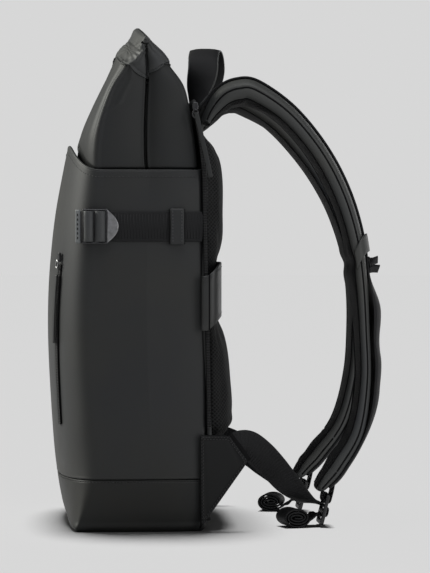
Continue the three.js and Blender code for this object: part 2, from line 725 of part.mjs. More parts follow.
// The strap buckle's own frame: its length runs up, and its face towards the bag is its +Z
function bucklePlace(hang) {
  const along = vector(0, Math.sin(BUCKLE_LEAN), Math.cos(BUCKLE_LEAN));
  const across = vector(1, 0, 0);
  const place = new THREE.Matrix4().makeBasis(across, along, across.clone().cross(along));
  return place.setPosition(vector(STRAP_BUCKLE_X, BUCKLE_CENTRE.y, BUCKLE_CENTRE.z).add(hangAt(hang, 1)));
}

const onBuckle = (hang, { along, off }) => vector(0, along, off).applyMatrix4(bucklePlace(hang));
const buckleStations = (hang, rows) => rows.map((row) => {
  return { at: onBuckle(hang, row), across: vector(1, 0, 0) };
});

function strapEndTab(hang) {
  return ribbon(buckleStations(hang, END_TAB), TAB_WIDTH, TAB_THICK);
}

function lowerWebbing(hang, table) {
  const free = readings(table, WEBBING_STEPS * (table.length - 1)).map(({ x, y, z, wx, wy, wz }) => {
    return { at: vector(x, y, z), across: vector(wx, wy, wz) };
  });
  return ribbon([...free, ...buckleStations(hang, THREADING)], WEB_WIDTH, WEB_THICK);
}

// The rolled end: an oval spiral that unwinds along the floor towards the buckle
function webbingRoll(hang) {
  const yawed = (degrees) => {
    const angle = THREE.MathUtils.degToRad(degrees);
    return vector(Math.cos(angle), Math.sin(angle), 0);
  };
  const across = yawed(ROLL.yaw);
  const ahead = vector(-across.y, across.x, 0);
  const middle = vector(ROLL.x, ROLL.y, ROLL.z).add(hangAt(hang, 1));
  const stations = [];
  const steps = Math.round(ROLL.turns * ROLL_STEPS);
  for (let step = 0; step <= steps; step++) {
    const share = step / steps;
    const angle = THREE.MathUtils.degToRad(ROLL.end) - 2 * Math.PI * ROLL.turns * (1 - share);
    const radius = lerp(ROLL.inner, ROLL.outer, share);
    const at = middle.clone().addScaledVector(ahead, radius * Math.cos(angle));
    at.z += (radius - ROLL.flat) * Math.sin(angle);
    stations.push({ at, across });
  }
  for (const { x, y, z, turn } of ROLL_TAIL) {
    stations.push({ at: vector(x, y, z).add(hangAt(hang, 1)), across: yawed(turn) });
  }
  stations.push({ at: onBuckle(hang, TAIL_START), across: vector(1, 0, 0) });
  return ribbon(stations, WEB_WIDTH, WEB_THICK);
}

// How far out the side of the body stands at the compression strap
function sideSurface(y) {
  const { half, front, round, square } = bodyAt(SIDE_STRAP_HEIGHT);
  const bend = Math.max(front + round - y, 0) / round;
  return half * (1 - bend ** square) ** (1 / square);
}

const sideStations = (rows) => rows.map(({ y, off }) => {
  return { at: vector(sideSurface(y) + off, y, SIDE_STRAP_HEIGHT), across: vector(0, 0, 1) };
});

function sideBuckle() {
  const { front, back } = SIDE_BUCKLE;
  const turned = SIDE_SLOTS.map(({ from, to }) => ({ from: -to, to: -from }));
  const shape = { ...SIDE_BUCKLE, bottom: -back, top: -front, corner: 9, endCorner: 3, slots: turned };
  return ladder(shape);
}

function sideBucklePlace() {
  const place = new THREE.Matrix4().makeBasis(vector(0, 0, 1), vector(0, -1, 0), vector(1, 0, 0));
  return place.setPosition(bodyAt(SIDE_STRAP_HEIGHT).half + SIDE_BUCKLE.lift, 0, SIDE_STRAP_HEIGHT);
}

function sideKeeper() {
  const surface = sideSurface(SIDE_KEEPER_Y);
  const stations = SIDE_KEEPER.map(({ rise, off }) => {
    return { at: vector(surface + off, SIDE_KEEPER_Y, SIDE_STRAP_HEIGHT + rise), across: vector(0, 1, 0) };
  });
  return ribbon(stations, SIDE_KEEPER_WIDTH, CLOTH);
}

// A place on the body's front face, and the directions along and out of the face there
function frontFace(x, z) {
  const { half, front, round, square } = bodyAt(z);
  const share = x / half;
  const y = front + round - round * (1 - share ** square) ** (1 / square);
  const slope = (round / half) * share ** (square - 1) * (1 - share ** square) ** (1 / square - 1);
  const across = vector(1, slope, 0).normalize();
  return { at: vector(x, y, z), across, out: vector(across.y, -across.x, 0) };
}

function frontStations(top, bottom, steps, off, swing = 0) {
  return Array.from({ length: steps + 1 }, (_, step) => {
    const share = step / steps;
    const { at, across, out } = frontFace(FRONT_ZIP_X, lerp(bottom, top, share));
    return { at: at.addScaledVector(out, off).addScaledVector(across, swing * (1 - share)), across };
  });
}

function frontZip() {
  const { top, bottom, width, steps } = FRONT_ZIP;
  return ribbon(frontStations(top, bottom, steps, GAP + ZIP_THICK), width, ZIP_THICK);
}

function frontPull() {
  const { top, bottom, width, thick, off, swing } = FRONT_PULL;
  return ribbon(frontStations(top, bottom, FRONT_ZIP.steps, off + thick / 2, swing), width, thick);
}

// A zip slider lying on its own XY plane, narrower at its waist, with its length along Y
function slider() {
  const { width, length, thick, waist } = SLIDER;
  const shape = new THREE.Shape();
  shape.moveTo(-waist / 2, 0);
  shape.lineTo(waist / 2, 0);
  shape.lineTo(width / 2, length * 0.55);
  shape.lineTo(width / 2 - 1, length);
  shape.lineTo(-width / 2 + 1, length);
  shape.lineTo(-width / 2, length * 0.55);
  shape.closePath();
  return new THREE.ExtrudeGeometry(shape, { depth: thick, bevelEnabled: false });
}

function frontSliderPlace() {
  const { at, across, out } = frontFace(FRONT_ZIP_X, FRONT_ZIP.top);
  const place = new THREE.Matrix4().makeBasis(across, vector(0, 0, 1), out);
  return place.setPosition(at.addScaledVector(out, GAP).add(vector(0, 0, GAP)));
}

const backZipAt = (z) => {
  const { half, face } = atHeight(BACK_PANEL, z);
  return vector(half + GAP + ZIP_THICK / 2, face - PANEL / 2, z);
};

function backZip() {
  const { top, bottom, width } = BACK_ZIP;
  const between = BACK_PANEL.map(({ z }) => z).filter((z) => z > bottom && z < top);
  const stations = [bottom, ...between, top].map((z) => ({ at: backZipAt(z), across: vector(0, 1, 0) }));
  return ribbon(stations, width, ZIP_THICK);
}

function backSliderPlace() {
  const at = backZipAt(BACK_ZIP.top - SLIDER.length);
  const place = new THREE.Matrix4().makeBasis(vector(0, 1, 0), vector(0, 0, 1), vector(1, 0, 0));
  return place.setPosition(at.x + ZIP_THICK / 2 + GAP, at.y, at.z);
}

function backPull() {
  const stations = readings(BACK_PULL, FRONT_ZIP.steps).map(({ x, y, z }) => {
    return { at: vector(x, y, z), across: vector(0, 1, 0) };
  });
  return ribbon(stations, BACK_PULL_WIDTH, FRONT_PULL.thick);
}

// Assembly
const backpack = new THREE.Group();
const rightSide = new THREE.Group();
const leftSide = new THREE.Group();
leftSide.scale.x = -1;
backpack.add(rightSide, leftSide);

function place(group, name, geometry, material, matrix = new THREE.Matrix4()) {
  const mesh = new THREE.Mesh(geometry, material);
  mesh.name = name;
  mesh.applyMatrix4(matrix);
  group.add(mesh);
}

place(backpack, "base_tub", baseTub(), COATED);
place(backpack, "main_shell", mainShell(), COATED);
place(backpack, "roll_collar", rollCollar(), COATED);
place(backpack, "roll_cap", rollCap(), COATED);
place(backpack, "back_panel", backPanel(), COATED);
place(backpack, "upper_back_pad", backPad(UPPER_PAD), MESH);
place(backpack, "lower_back_pad", backPad(LOWER_PAD), MESH);
place(backpack, "luggage_band", luggageBand(), COATED);
place(backpack, "grab_handle", grabHandle(), WEBBING);

const SIDES = [
  { side: "right", group: rightSide, hang: RIGHT_HANG, webbing: RIGHT_WEBBING },
  { side: "left", group: leftSide, hang: LEFT_HANG, webbing: LEFT_WEBBING },
];
for (const { side, group, hang, webbing } of SIDES) {
  place(group, `shoulder_strap_${side}`, shoulderStrap(hang), MESH);
  place(group, `strap_strip_${side}`, strapStrip(hang), WEBBING);
  place(group, `strap_cuff_${side}`, strapCuff(hang), COATED);
  place(group, `chest_tab_${side}`, chestTab(), WEBBING, chestTabPlace(hang));
  place(group, `wing_${side}`, wing(), COATED);
  place(group, `lower_webbing_${side}`, lowerWebbing(hang, webbing), WEBBING);
  place(group, `webbing_roll_${side}`, webbingRoll(hang), WEBBING);
  place(group, `strap_buckle_${side}`, strapBuckle(), PLASTIC, bucklePlace(hang));
  place(group, `strap_end_tab_${side}`, strapEndTab(hang), WEBBING);
  place(group, `side_strap_${side}`, ribbon(sideStations(SIDE_STRAP), WEB_WIDTH, WEB_THICK), WEBBING);
  place(group, `side_anchor_${side}`, ribbon(sideStations(SIDE_ANCHOR), WEB_WIDTH, WEB_THICK), WEBBING);
  place(group, `side_buckle_${side}`, sideBuckle(), METAL, sideBucklePlace());
  place(group, `side_keeper_${side}`, sideKeeper(), COATED);
}

place(backpack, "front_zip", frontZip(), ZIPPER);
place(backpack, "front_zip_slider", slider(), METAL, frontSliderPlace());
place(backpack, "front_zip_pull", frontPull(), COATED);
place(backpack, "back_zip", backZip(), ZIPPER);
place(backpack, "back_zip_slider", slider(), METAL, backSliderPlace());
place(backpack, "back_zip_pull", backPull(), COATED);

export default backpack;
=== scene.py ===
"""A black roll-top backpack, dressed in coated cloth, webbing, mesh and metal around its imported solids."""

import math

import bpy
import numpy as np
from mathutils import Matrix, Vector


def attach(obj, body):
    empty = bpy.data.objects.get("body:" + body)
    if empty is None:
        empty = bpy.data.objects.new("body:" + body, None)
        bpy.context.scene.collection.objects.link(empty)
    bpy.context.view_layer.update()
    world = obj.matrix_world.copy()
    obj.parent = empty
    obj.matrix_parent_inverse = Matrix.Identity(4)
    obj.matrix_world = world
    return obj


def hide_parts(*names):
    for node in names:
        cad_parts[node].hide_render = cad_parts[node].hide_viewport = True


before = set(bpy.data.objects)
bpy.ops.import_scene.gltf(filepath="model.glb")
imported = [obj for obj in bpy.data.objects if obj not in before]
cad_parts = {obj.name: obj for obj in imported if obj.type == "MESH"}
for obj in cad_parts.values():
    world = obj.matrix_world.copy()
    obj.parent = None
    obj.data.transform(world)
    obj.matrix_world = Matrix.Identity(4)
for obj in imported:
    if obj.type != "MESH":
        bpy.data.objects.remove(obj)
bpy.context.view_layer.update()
BODY_NAME = "root"

# Sizes are millimetres, as in the part's own drawing, and meshes are made in metres
MM = 0.001
CLOTH = 2.0
WEB_WIDTH = 28
WEB_THICK = 1.6
RIBBON = {"edge": 0.45, "flat_steps": 5}  # rounding of a strap's edges as a share of its thickness
TUBE_SIDES = 10
STEEP = 0.8  # how upright a bead's path is where its rings are set level
SEAM_HEIGHT = 48.6
SIDE_STRAP_HEIGHT = 285
FRONT_ZIP_X = (109, 101)  # at its top and its bottom
STITCH = (0.75, 2.3, 0.55)
STITCH_PITCH = 3.1
BEAD = {"sides": 6, "levels": 5}
ROW = {"uneven": 0.06, "seed": 3}

# How finely outlines are divided, and how much closer the points lie beside the fold in each side
BACK_STEPS = 16
CORNER_STEPS = 6
SIDE_STEPS = 66
FRONT_STEPS = 44
FOLD_CROWDING = 1.9

BACK_CORNER = 5
EDGE_ARCH = 3
PLEAT_ALONG = 0.5
PLEAT_REACH = (0.13, 0.28)  # how far its hollow spreads behind and in front of it
PLEAT_SHAPE = 1.4
SIDE_TURN = (0.026, 0.011)  # how much a side draws in at its back and front edges
SIDE_TURN_REACH = (0.42, 0.38)  # the shares of a side that draw in there

# Unevenness of each cloth: height, seed and length of its waves
SLACK = {
    "base": (0.5, 11, 90),
    "shell": (0.9, 5, 150),
    "collar": (0.9, 8, 85),
    "collar_creases": (2.2, 3, 120),
    "cap": (1, 21, 22),
    "panel": (0.25, 17, 60),
}
WAVES = {"count": 9, "lengths": (0.7, 1.5), "calm": 1.6}

# Rows of points: first, last, how many
BASE_ROWS = [(0, 12, 14), (14, 43, 14), (44, SEAM_HEIGHT, 25)]
SHELL_ROWS = [(0, 0.02, 12), (0.03, 0.97, 66), (0.975, 1, 6)]
COLLAR_ROWS = [(0, 1, 140), (1, 1, 6)]
CAP_ROWS = [(0, 0.06, 8), (0.075, 1, 84)]

# Sunk and raised lines along the base seam: height, distance above the seam, reach
BASE_DENTS = [(-1.3, 0.6, 1.1), (-0.4, -1.7, 0.45), (0.25, -0.3, 0.7)]
SHELL_DENTS = [(-1.2, 0, 0.9), (0.2, 1.8, 1)]
BASE_SEAM = {"below": 1.7, "lift": -0.25, "around": 0.5}
SLACK_FROM = {"base": 20, "shell": 60}  # how high above its lower edge a cloth hangs freely
HEM_BEAD = {"radius": 1.3, "in": 1.1, "stitch_row": -5}
FLAT_STITCH, BAND_STITCH = 0.1, 0.05  # how far stitches stand off flat cloth and off bands
SHARP = {"cloth": math.radians(60), "plate": math.radians(50)}

# Level outlines of the body: height, half width, front, back, depth and squareness of front corners, pleat
BODY = [
    (0, 137.5, -68.5, 53, 7, 3, 0),
    (2.5, 139.6, -71, 55.2, 8, 2.8, 0),
    (10, 140.6, -74, 55.8, 14, 2.5, 0),
    (30, 142.4, -79, 56.3, 28, 2.4, 0),
    (50, 144, -82.5, 56.5, 40, 2.4, 0),
    (100, 145, -87.2, 56.5, 42, 2.4, -1),
    (195, 145, -91.3, 55, 42, 2.4, -1.5),
    (250, 145, -89.3, 53.5, 42, 2.4, -1),
    (300, 144.5, -84.1, 52.5, 41, 2.5, 0),
    (340, 144, -76.6, 51.5, 38, 2.7, 2),
    (364, 143.5, -71.7, 51, 36, 2.8, 2),
]
SHELL_FOOT = [SEAM_HEIGHT + 0.4] * 3
SHELL_RIM = (337, 364, 341)  # at the sides, the front and the back

# The cloth that stands up inside the rim
COLLAR = [
    (262, 141.8, -75, 50.2, 42, 2.4, 0),
    (267, 141.6, -73.5, 49.9, 40, 2.4, 0.5),
    (312, 141.3, -68, 49.2, 34, 2.4, 3),
    (340, 141, -65, 48.6, 22.5, 2.5, 5),
    (368, 140.5, -61.5, 46, 20, 2.7, 7),
    (398, 140, -50, 41, 15, 2.8, 8),
    (418, 139.6, -40.5, 35, 13.5, 2.8, 8),
    (436, 139.2, -32, 22.5, 18, 2.9, 8),
    (446, 139, -27, 16, 18, 3, 8),
    (452, 138.8, -24.5, 14, 17, 3, 8),
]
COLLAR_FOOT = (300, 300, 300)
# Creases down its front corners: depth, and the middle and reach of each in degrees from the side
COLLAR_CREASES = [(-0.9, 17, 4), (-0.45, 38, 6), (-0.5, 60, 8), (0.1, 6, 5)]
COLLAR_FREE = (330, 55)  # from where, and over how much height, it falls into creases
# A fold that branches off the middle one: height, distance in front of it
BRANCH = [(390, 40), (393, 36), (399, 26), (424, 14.6)]
BRANCH_FOLD = {"height": 0.9, "reach": 2.2, "from": 388, "over": 6}
COLLAR_PLEAT = (9, 0.8)  # depth and width of its middle fold
COLLAR_CALM = 14  # how near that fold it lies smooth
RIM_HOLLOW = {"front": -1.5, "side": -4, "above": 3.4, "over": 2.6}  # where it stands back from the rim
TUCK_INSET = 1.8
FOLD_LIPS = {"height": 0.45, "off": 2.4, "reach": 1.5, "shape": 1.7}
COLLAR_TUCK = 3  # how far its hidden edge goes up inside the folded top

# The folded top: rise from its lower edge to its ridge, half width, front, back, corners, pleat
CAP_FOOT = (423.6, 448.6, 434.6)
CAP_RIDGE = (462, 482, 482)
HEM_RISE = {"front": 12, "fold": 4.6, "back": 14}  # of the lower edge at the corners and behind the fold
HEM_CURVE = {"front": 1.3, "fold": 0.1, "back": 1.5}
CAP_PROUD = 0.8
CAP_PLEAT = (4, 0.8)
CAP_FADE = {"fold": (1, 0.25), "cloth": (0.97, 0.25)}  # the rise where each ends, and over how much it fades
CAP_HEM = [(0.9, 0.015, 0.02), (-0.5, 0.07, 0.02)]
CAP_SWIRL = {"height": 0.16, "length": 7, "reach": 15}
CAP_GATHERS = {"height": 0.34, "count": 13, "sway": 1.6, "from": 5, "over": 10, "turn": 14}
CAP_TUCK = {"height": -0.5, "rise": 0.66, "slope": 0.001, "reach": 0.035, "turn": 12}
CAP_CORNER = [(0.35, 5, 4)]
CAP_SLACK = 0.25
RIDGE_ARCH = 1.25  # the ridge falls almost straight to its ends
# How far its fold lies forwards: rise, distance
CAP_FOLD_AHEAD = [(0, 0), (0.2, 3.2), (0.55, 4), (0.72, 2), (1, 1.2)]
RIDGE_BOW = (-2.2, 5)  # how far it lies forwards in its middle, and back from there at its ends
CAP_KNOT = (128, -15, 453)  # where the gathers of the folded corner meet
FAR = 1000
CAP = [
    (0.2, 140.4, -24.2, 22.3, 16.5, 3, 8),
    (0.38, 140.2, -19.6, 19.6, 14.5, 3, 8),
    (0.55, 139.6, -13.6, 15, 11, 3, 7),
    (0.72, 138.8, -9.2, 8.8, 7.5, 2.8, 5),
    (0.86, 138, -6.9, 4.2, 5, 2.6, 3),
    (0.95, 137.2, -4.9, 1.8, 3, 2.4, 1.5),
    (1, 136.6, -2.4, -0.2, 1, 2.4, 0.5),
]

# Back panel: height, half width, outer face
PANEL_THICK = 2.6
PANEL_LEAN = [(3.2, 205, 65)]  # how far its side edges lean towards the bag: distance, height, reach
PANEL_EDGE = {"from": 10, "corner": (390, 391), "to": 404, "steps": (70, 14, 40)}
PANEL_GRID = (90, 60)
PANEL_BEAD = {"inset": 1.4, "radius": 1.9, "in": 0.4, "wide": 100}
PANEL_SEAM = 6.0
PANEL_LEAN_SHAPE = 8
BACK_PANEL = [
    (10, 134, 59.6),
    (50, 141, 60),
    (100, 142, 60),
    (195, 142, 58.6),
    (250, 142, 57.2),
    (300, 141.5, 56.2),
    (340, 141, 55.2),
    (370, 140, 51.6),
    (396, 137, 47),
    (404, 128, 45.6),
]

# Padding: height, half width, depth
UPPER_PAD = [
    (225, 119, 12.6),
    (246, 121, 13),
    (255, 123, 15),
    (264, 124, 17.4),
    (300, 125, 19),
    (336, 124, 19.5),
    (357, 122, 18.5),
    (369, 118, 14.5),
    (374, 112, 6),
    (375.5, 106, 1),
]
LOWER_PAD = [
    (82, 104, 2),
    (84, 110, 14),
    (89, 117, 22),
    (110, 122, 25),
    (140, 125, 23.5),
    (168, 124, 21),
    (186, 122, 17.5),
    (200, 120, 12.8),
    (224.4, 119, 12.4),
]
PAD_SQUARE = 3.2
PAD_ENDS = {"reach": 8, "rows": 7, "from": 10, "middle_rows": 56}
PAD_ACROSS = 72
PAD_BACK = 24
PAD_FULL = 0.93  # its share of the full depth before it swells
PAD_OFF = 0.4
BAND_MARGIN = 3
SWELL = {"pressure": 3, "most": 3, "steps": 20, "even_out": 14}

BAND_HEIGHT = 51
BAND_PITCH = 2.5
BAND_SEAM = 21.5
BAND_FOLDS = {"right": 3, "left": -4}  # the rows where it bends round the sides
BAND_LINE = 0.7
BAND = [
    (146.5, 51.8, 213.5),
    (147, 57.5, 214),
    (145, 63.5, 219),
    (136, 68.2, 224),
    (117, 71.2, 226.5),
    (60, 72.8, 227),
    (0, 73.2, 227),
]

# Grab handle: place and how far the webbing has turned
HANDLE = [
    (26, 52.4, 377, 0),
    (26, 50.6, 388, 0),
    (26, 51.6, 404, 15),
    (27, 55.6, 420, 50),
    (27, 59.6, 438, 82),
    (20, 60.6, 453, 90),
    (5, 63, 461, 90),
    (-10, 66.4, 460, 90),
    (-22, 69, 452, 90),
    (-28, 69.4, 438, 98),
    (-28, 63, 420, 130),
    (-26, 53, 404, 165),
    (-26, 50.6, 388, 180),
    (-26, 52.4, 377, 180),
]

HANDLE_PITCH = 2
# The beads along the handle's edges are in the lighter strap cloth: bound edges with a painted highlight.
HANDLE_EDGE = 0.75  # thickness of its bound edges
HANDLE_CROWN = {"fall": 1.8, "from": 444, "over": 12, "shape": 3}  # how its edges fall at its top

# Shoulder strap: place, width and thickness, from its root to its tip
STRAP = [
    (62, 60, 385, 52, 8),
    (62, 67, 398, 55, 16),
    (63, 78, 410, 59, 21.5),
    (64, 91.5, 415, 61, 24.5),
    (65, 106.5, 413.2, 62, 24),
    (67, 137.2, 392.2, 62, 21.5),
    (70, 165.5, 358.5, 62, 20),
    (73, 186, 320.5, 62, 19.5),
    (76, 199.5, 279, 61, 18),
    (79, 206, 236, 60, 15.5),
    (82, 208.8, 187, 59, 13.5),
    (85, 209.6, 139, 58, 13.6),
    (88, 202, 91.5, 55, 16),
    (90, 184, 59.5, 50, 17.5),
    (90, 173.5, 45.5, 46, 15.5),
    (90, 165, 34.5, 38, 9),
]
STRAP_TABLE_STEP = 0.5 / 34  # how far apart the strap's direction is read
# How much further in and out each strap hangs, along its length
HANG = {
    "right": [(0, 0), (0, 0)],
    "left": [(0, 0), (0, 0), (0, 0), (-1, 2), (-4, 9), (-10, 12), (-17, 5), (-23, -4), (-26, -6)],
}
STRAP_SQUARE = 2.7
STRAP_AROUND = 60
STRAP_ROWS = 190
COVER_COLUMN, SEAM_COLUMN = 1, -5  # where the outer cover and the mesh begin, counted from the strap's edge
STRAP_GROOVE = (0.03, 0.7)
STRAP_TIP = {"from": 0.97, "over": 0.03, "most": 0.985, "narrow": 0.4}
STRAP_PINCH = {"after_cuff": 0.008, "depth": 0.35, "reach": 0.011, "near": 0.05}
STRAP_FULL = {"inner": 1.12, "outer": 0.98, "wide": 0.975}
STRAP_BEAD = {"radius": 0.9, "first": 3, "last": -5}

STRIP_FROM, STRIP_TO = 0.06, 0.955
STRIP_BOWS = [(0.645, 0.055, 10), (0.695, 0.05, 5), (0.745, 0.08, 7.5)]  # middle, reach, height
STRIP_HALF = (14, 23)  # half its width above and below the cuff
STRIP_LIFT = 0.8
STRIP_WIDENS = (-0.01, 0.06)  # before and after the cuff
STRIP_MOST = 0.86  # its share of the strap's width
STRIP_CURL = 0.6
STRIP_GRID = (320, 25)

CUFF_ALONG = 0.568
CUFF_SPAN = 0.025
CUFF_SLANT = 0.0175
CUFF_CLEAR = {"edge": 0.9, "crown": 4.6, "side": 1.2}
CUFF_TURN = (-0.1, 1.1)
CUFF_GRID = (9, 45)
CUFF_THICK = 1.8
TAB_ALONG, TAB_WIDTH, TAB_REACH, TAB_OPENING = 0.583, 20, 10, 5.4
TAB_TILT = math.radians(16)
# The tab's doubled path: how far out, and a share of its half opening with what is added to it
TAB_PATH = [
    (TAB_REACH, 1, 1.2), (TAB_REACH * 0.5, 1, 0), (1.6, 1, 0), (0.8, 0.6, 0),
    (0.8, -0.6, 0), (1.6, -1, 0), (TAB_REACH * 0.5, -1, 0), (TAB_REACH, -1, -0.8),
]
TAB_OFF = 0.4

WING_CORNERS = {
    "right": [(147, 50.4, 91), (136, 79, 89.6), (131, 97, 65.5), (143.5, 51, 3)],
    "left": [(147, 50.4, 88), (135, 76, 81), (130, 94, 58), (143.5, 51, 3)],
}
WING_THICK = 2.4
WING_GRID = (40, 26)
WING_REACH = (45, 30)  # how its height and length count towards the distance from its edge
WING_HEM = [(0.5, 1.0, 1.0), (-0.45, 3.2, 0.7), (-1.0, 0, 0.4)]
WING_SEAMS = (0.93, 0.86)
WING_STITCH = 0.3
# A near-black strip beside and behind the wing's slanted edge paints the shadow in the gap between wing and
# webbing.
WING_SHADOW_STRIP = {"width": 4.4, "thick": 2.2, "beside": 1.4, "behind": 1.8, "from": -0.02, "rows": 12}

LADDER = {"slot_width": 30.5, "thick": 3.6, "edge": 0.9, "slot_corner": 1}
# Right half of the ladder's waisted outline: place, and radius of the corner there
LADDER_OUTLINE = [(19, -15, 4), (19.6, -6, 2), (18.2, 0, 2), (19, 15, 4)]
LADDER_SLOTS = [(-10.5, -4.2), (-0.8, 8.6)]
BUCKLE_CENTRE = (90, 171.2, 17)
BUCKLE_LEAN = math.radians(13.5)
# Loop of the strap's end round the top bar, and the webbing's way through the slots: along the buckle, off it
END_TAB = [(24, -3.6), (18, -3.8), (9.2, -3.6), (6.8, -2.2), (6.2, 0), (6.8, 2.2), (9.2, 3.4), (16, 3.6)]
END_TAB_WIDTH, END_TAB_THICK = 29, 1.4
THREADING = [(3.2, 6), (2.6, 0), (1.4, -3.1), (-2.2, -3.7), (-5.8, -3.1), (-6.8, 0)]
TAIL_START = (-8.4, 3.4)

# Webbing from each wing to its buckle: centre line and the direction of its width
LOWER_WEBBING = {
    "right": [
        (130.5, 82, 75, 0.12, -0.59, 0.8),
        (127.5, 88, 79.5, 0.12, -0.5, 0.86),
        (124, 97, 79.5, 0.1, -0.05, 1),
        (120.5, 108, 71.5, 0.15, 0.3, 0.94),
        (116, 121, 58.5, 0.4, 0.52, 0.75),
        (110, 135, 42.5, 0.6, 0.53, 0.6),
        (103.5, 146.5, 31, 0.82, 0.38, 0.42),
        (97, 155, 24.4, 0.95, 0.2, 0.25),
    ],
    "left": [
        (129.5, 79, 66, 0.12, -0.59, 0.8),
        (126, 86, 69, 0.12, -0.45, 0.88),
        (121, 95, 66.5, 0.15, 0, 0.99),
        (114.5, 106.5, 60.5, 0.25, 0.3, 0.92),
        (106, 119, 53.5, 0.45, 0.45, 0.77),
        (95, 131, 42.5, 0.65, 0.45, 0.6),
        (84, 142, 31.5, 0.85, 0.3, 0.4),
        (74, 150, 24.5, 0.96, 0.15, 0.2),
    ],
}
ROLL = {"at": (97, 141.5, 9.7), "inner": 4.2, "outer": 12.9, "flat": 3.6, "turns": 3.3, "end": -20, "yaw": 14}
ROLL_TAIL = [(92, 158.5, 9.2, 5), (90, 163, 12, 1)]
ROLL_RIBBED = 95  # how many of its last points carry ribs
RIB = {"pitch": 2.8, "long": 2.3, "short_of_edge": 2, "high": 0.4, "off": 0.42, "uneven": 0.03}

SIDE_BUCKLE = {"front": -59, "back": -25.5, "width": 32.4, "slot_width": 29, "thick": 2.4, "lift": 2.6}
SIDE_FRAME = {"corner": 1.4, "slot_corner": 1, "edge": 0.7, "under_tab": 1}
D_TAB = {"half": 15.4, "length": 10.6, "thick": 3, "edge": 0.8}
SIDE_LOOPS = {"front": (-57.8, -49.3), "back": (-47.4, -38.2)}
LOOP = {"rise": 3.9, "thick": 1.2, "narrower": 0.6, "turn": (-0.15, 1.15), "steps": 40}
ANCHOR_BAR = {"at": (146.6, -63.2), "turn": 60, "width": 5.2, "length": 31, "rows": 24}
ANCHOR_PITCH = 4.4
ANCHOR_STITCH = (1.3, 2.8, 0.9)
SIDE_SLOTS = [(-55.5, -48), (-44, -37.5)]
SIDE_ANCHOR = [
    (-64, 3.4), (-61, 3.2), (-57.5, 3), (-54.2, 4.4), (-53.4, 6.4),
    (-54.2, 8.6), (-57, 10), (-60, 10), (-62, 8.4), (-63.6, 6.6),
]
SIDE_STRAP = [
    (52.4, 1.6), (0, 1.6), (-36, 1.5), (-40.2, 2), (-41.4, 4),
    (-42.4, 6), (-46, 6.7), (-49.4, 6.2), (-50.2, 4), (-50.4, 2.4),
]
KEEPER_Y, KEEPER_WIDTH, KEEPER_EDGE = 29, 13.4, 0.7
KEEPER_WAIST = (0.05, 9)
KEEPER_SEAM = 4.2
KEEPER_ROWS, KEEPER_EDGE_FROM = 90, 6
KEEPER = [(15.8, 1), (15.6, 2.6), (14.4, 4.3), (0, 4.9), (-14.4, 4.3), (-15.6, 2.6), (-15.8, 1)]

FRONT_ZIP = {"top": 250, "bottom": 99, "width": 7}
BACK_ZIP = {"top": 394, "bottom": 98, "width": 4.4}
ZIP_THICK = 1.4
ZIP_OFF = {"tape": 0.9, "front_teeth": 1.5, "back_teeth": 0.7, "slider": 2.2, "back_tape": 0.4}
ZIP_LIP = {"beside": 3, "off": 1.1, "width": 7, "thick": 2.4}
ZIP_NARROW = 0.45  # its share of the full width at its lower end
TEETH = {"apart": 0.7, "pitch": 1.5, "size": (0.9, 2.4, 1.1), "uneven": 0.03}
SLIDER_BODY = [(-1.8, 2), (1.8, 2), (3, 7), (2.2, 11), (-2.2, 11), (-3, 7)]
SLIDER = {"corner": 1.0, "thick": 2.6, "edge": 0.7}
SLIDER_RING = {"half_wide": 2.6, "half_long": 3.8, "radius": 0.75, "ahead": 0.2, "off": 2.4, "sides": 8}
BACK_SLIDER_DROP = 4
FRONT_PULL = {"top": 240, "bottom": 176, "width": 6, "thick": 1.6, "off": 3.6, "swing": -2}
BACK_PULL = [(149.5, 46.5, 391), (149.5, 50.5, 374), (150, 55.5, 352), (150.2, 60, 331)]
BACK_PULL_WIDTH = 4.2

# How many points curves are read at, and how far apart they are set along webbing
STEPS = {
    "band": 300, "band_fold": 14, "handle": 260, "tab": 60, "roll": 180, "side_tab": 25,
    "front_zip": 110, "front_pull": 60, "back_zip": 160, "back_pull": 50, "ring": 40,
}
BEND_STEPS = {"buckle": 8, "side": 12, "corner": 6}
WEB_PITCH, END_TAB_PITCH = 1.0, 0.8
SIDES = {"right": 1, "left": -1}
X_AXIS, Y_AXIS, Z_AXIS = np.eye(3)
TINY = 1e-9


# Reading tables and moving points

def along(table, share):
    """A table read as a smooth curve through its rows, at shares from 0 to 1."""
    rows = np.array(table, float)
    last = len(rows) - 1
    place = np.clip(np.atleast_1d(share), 0, 1) * last
    row = np.minimum(place.astype(int), last - 1)
    t = (place - row)[:, None]
    start, end = rows[row], rows[row + 1]
    start_slope = (end - rows[np.maximum(row - 1, 0)]) / 2
    end_slope = (rows[np.minimum(row + 2, last)] - start) / 2
    return hermite(start, end, start_slope, end_slope, t)


def hermite(start, end, start_slope, end_slope, t):
    cubic = 2 * start - 2 * end + start_slope + end_slope
    square = -3 * start + 3 * end - 2 * start_slope - end_slope
    return ((cubic * t + square) * t + start_slope) * t + start


def at_height(table, z):
    """A table read smoothly by its first column; the result has the other columns last."""
    rows = np.array(table, float)
    heights, values = rows[:, 0], rows[:, 1:]
    slopes = np.gradient(values, heights, axis=0)
    z = np.asarray(z, float)
    row = np.clip(np.searchsorted(heights, z, side="right") - 1, 0, len(heights) - 2)
    span = (heights[row + 1] - heights[row])[..., None]
    t = np.clip((z - heights[row])[..., None] / span, 0, 1)
    return hermite(values[row], values[row + 1], slopes[row] * span, slopes[row + 1] * span, t)


def unit(vectors):
    return vectors / np.maximum(np.linalg.norm(vectors, axis=-1, keepdims=True), TINY)


def resampled(path, pitch, *others):
    """Points a fixed distance apart on a path, with any other columns carried along."""
    steps = np.linalg.norm(np.diff(path, axis=0), axis=1)
    reach = np.concatenate([[0], np.cumsum(steps)])
    count = max(int(round(reach[-1] / pitch)), 2)
    places = np.linspace(0, reach[-1], count + 1)
    tables = [np.asarray(table, float) for table in (path, *others)]
    return [np.stack([np.interp(places, reach, column) for column in table.T], axis=1) for table in tables]


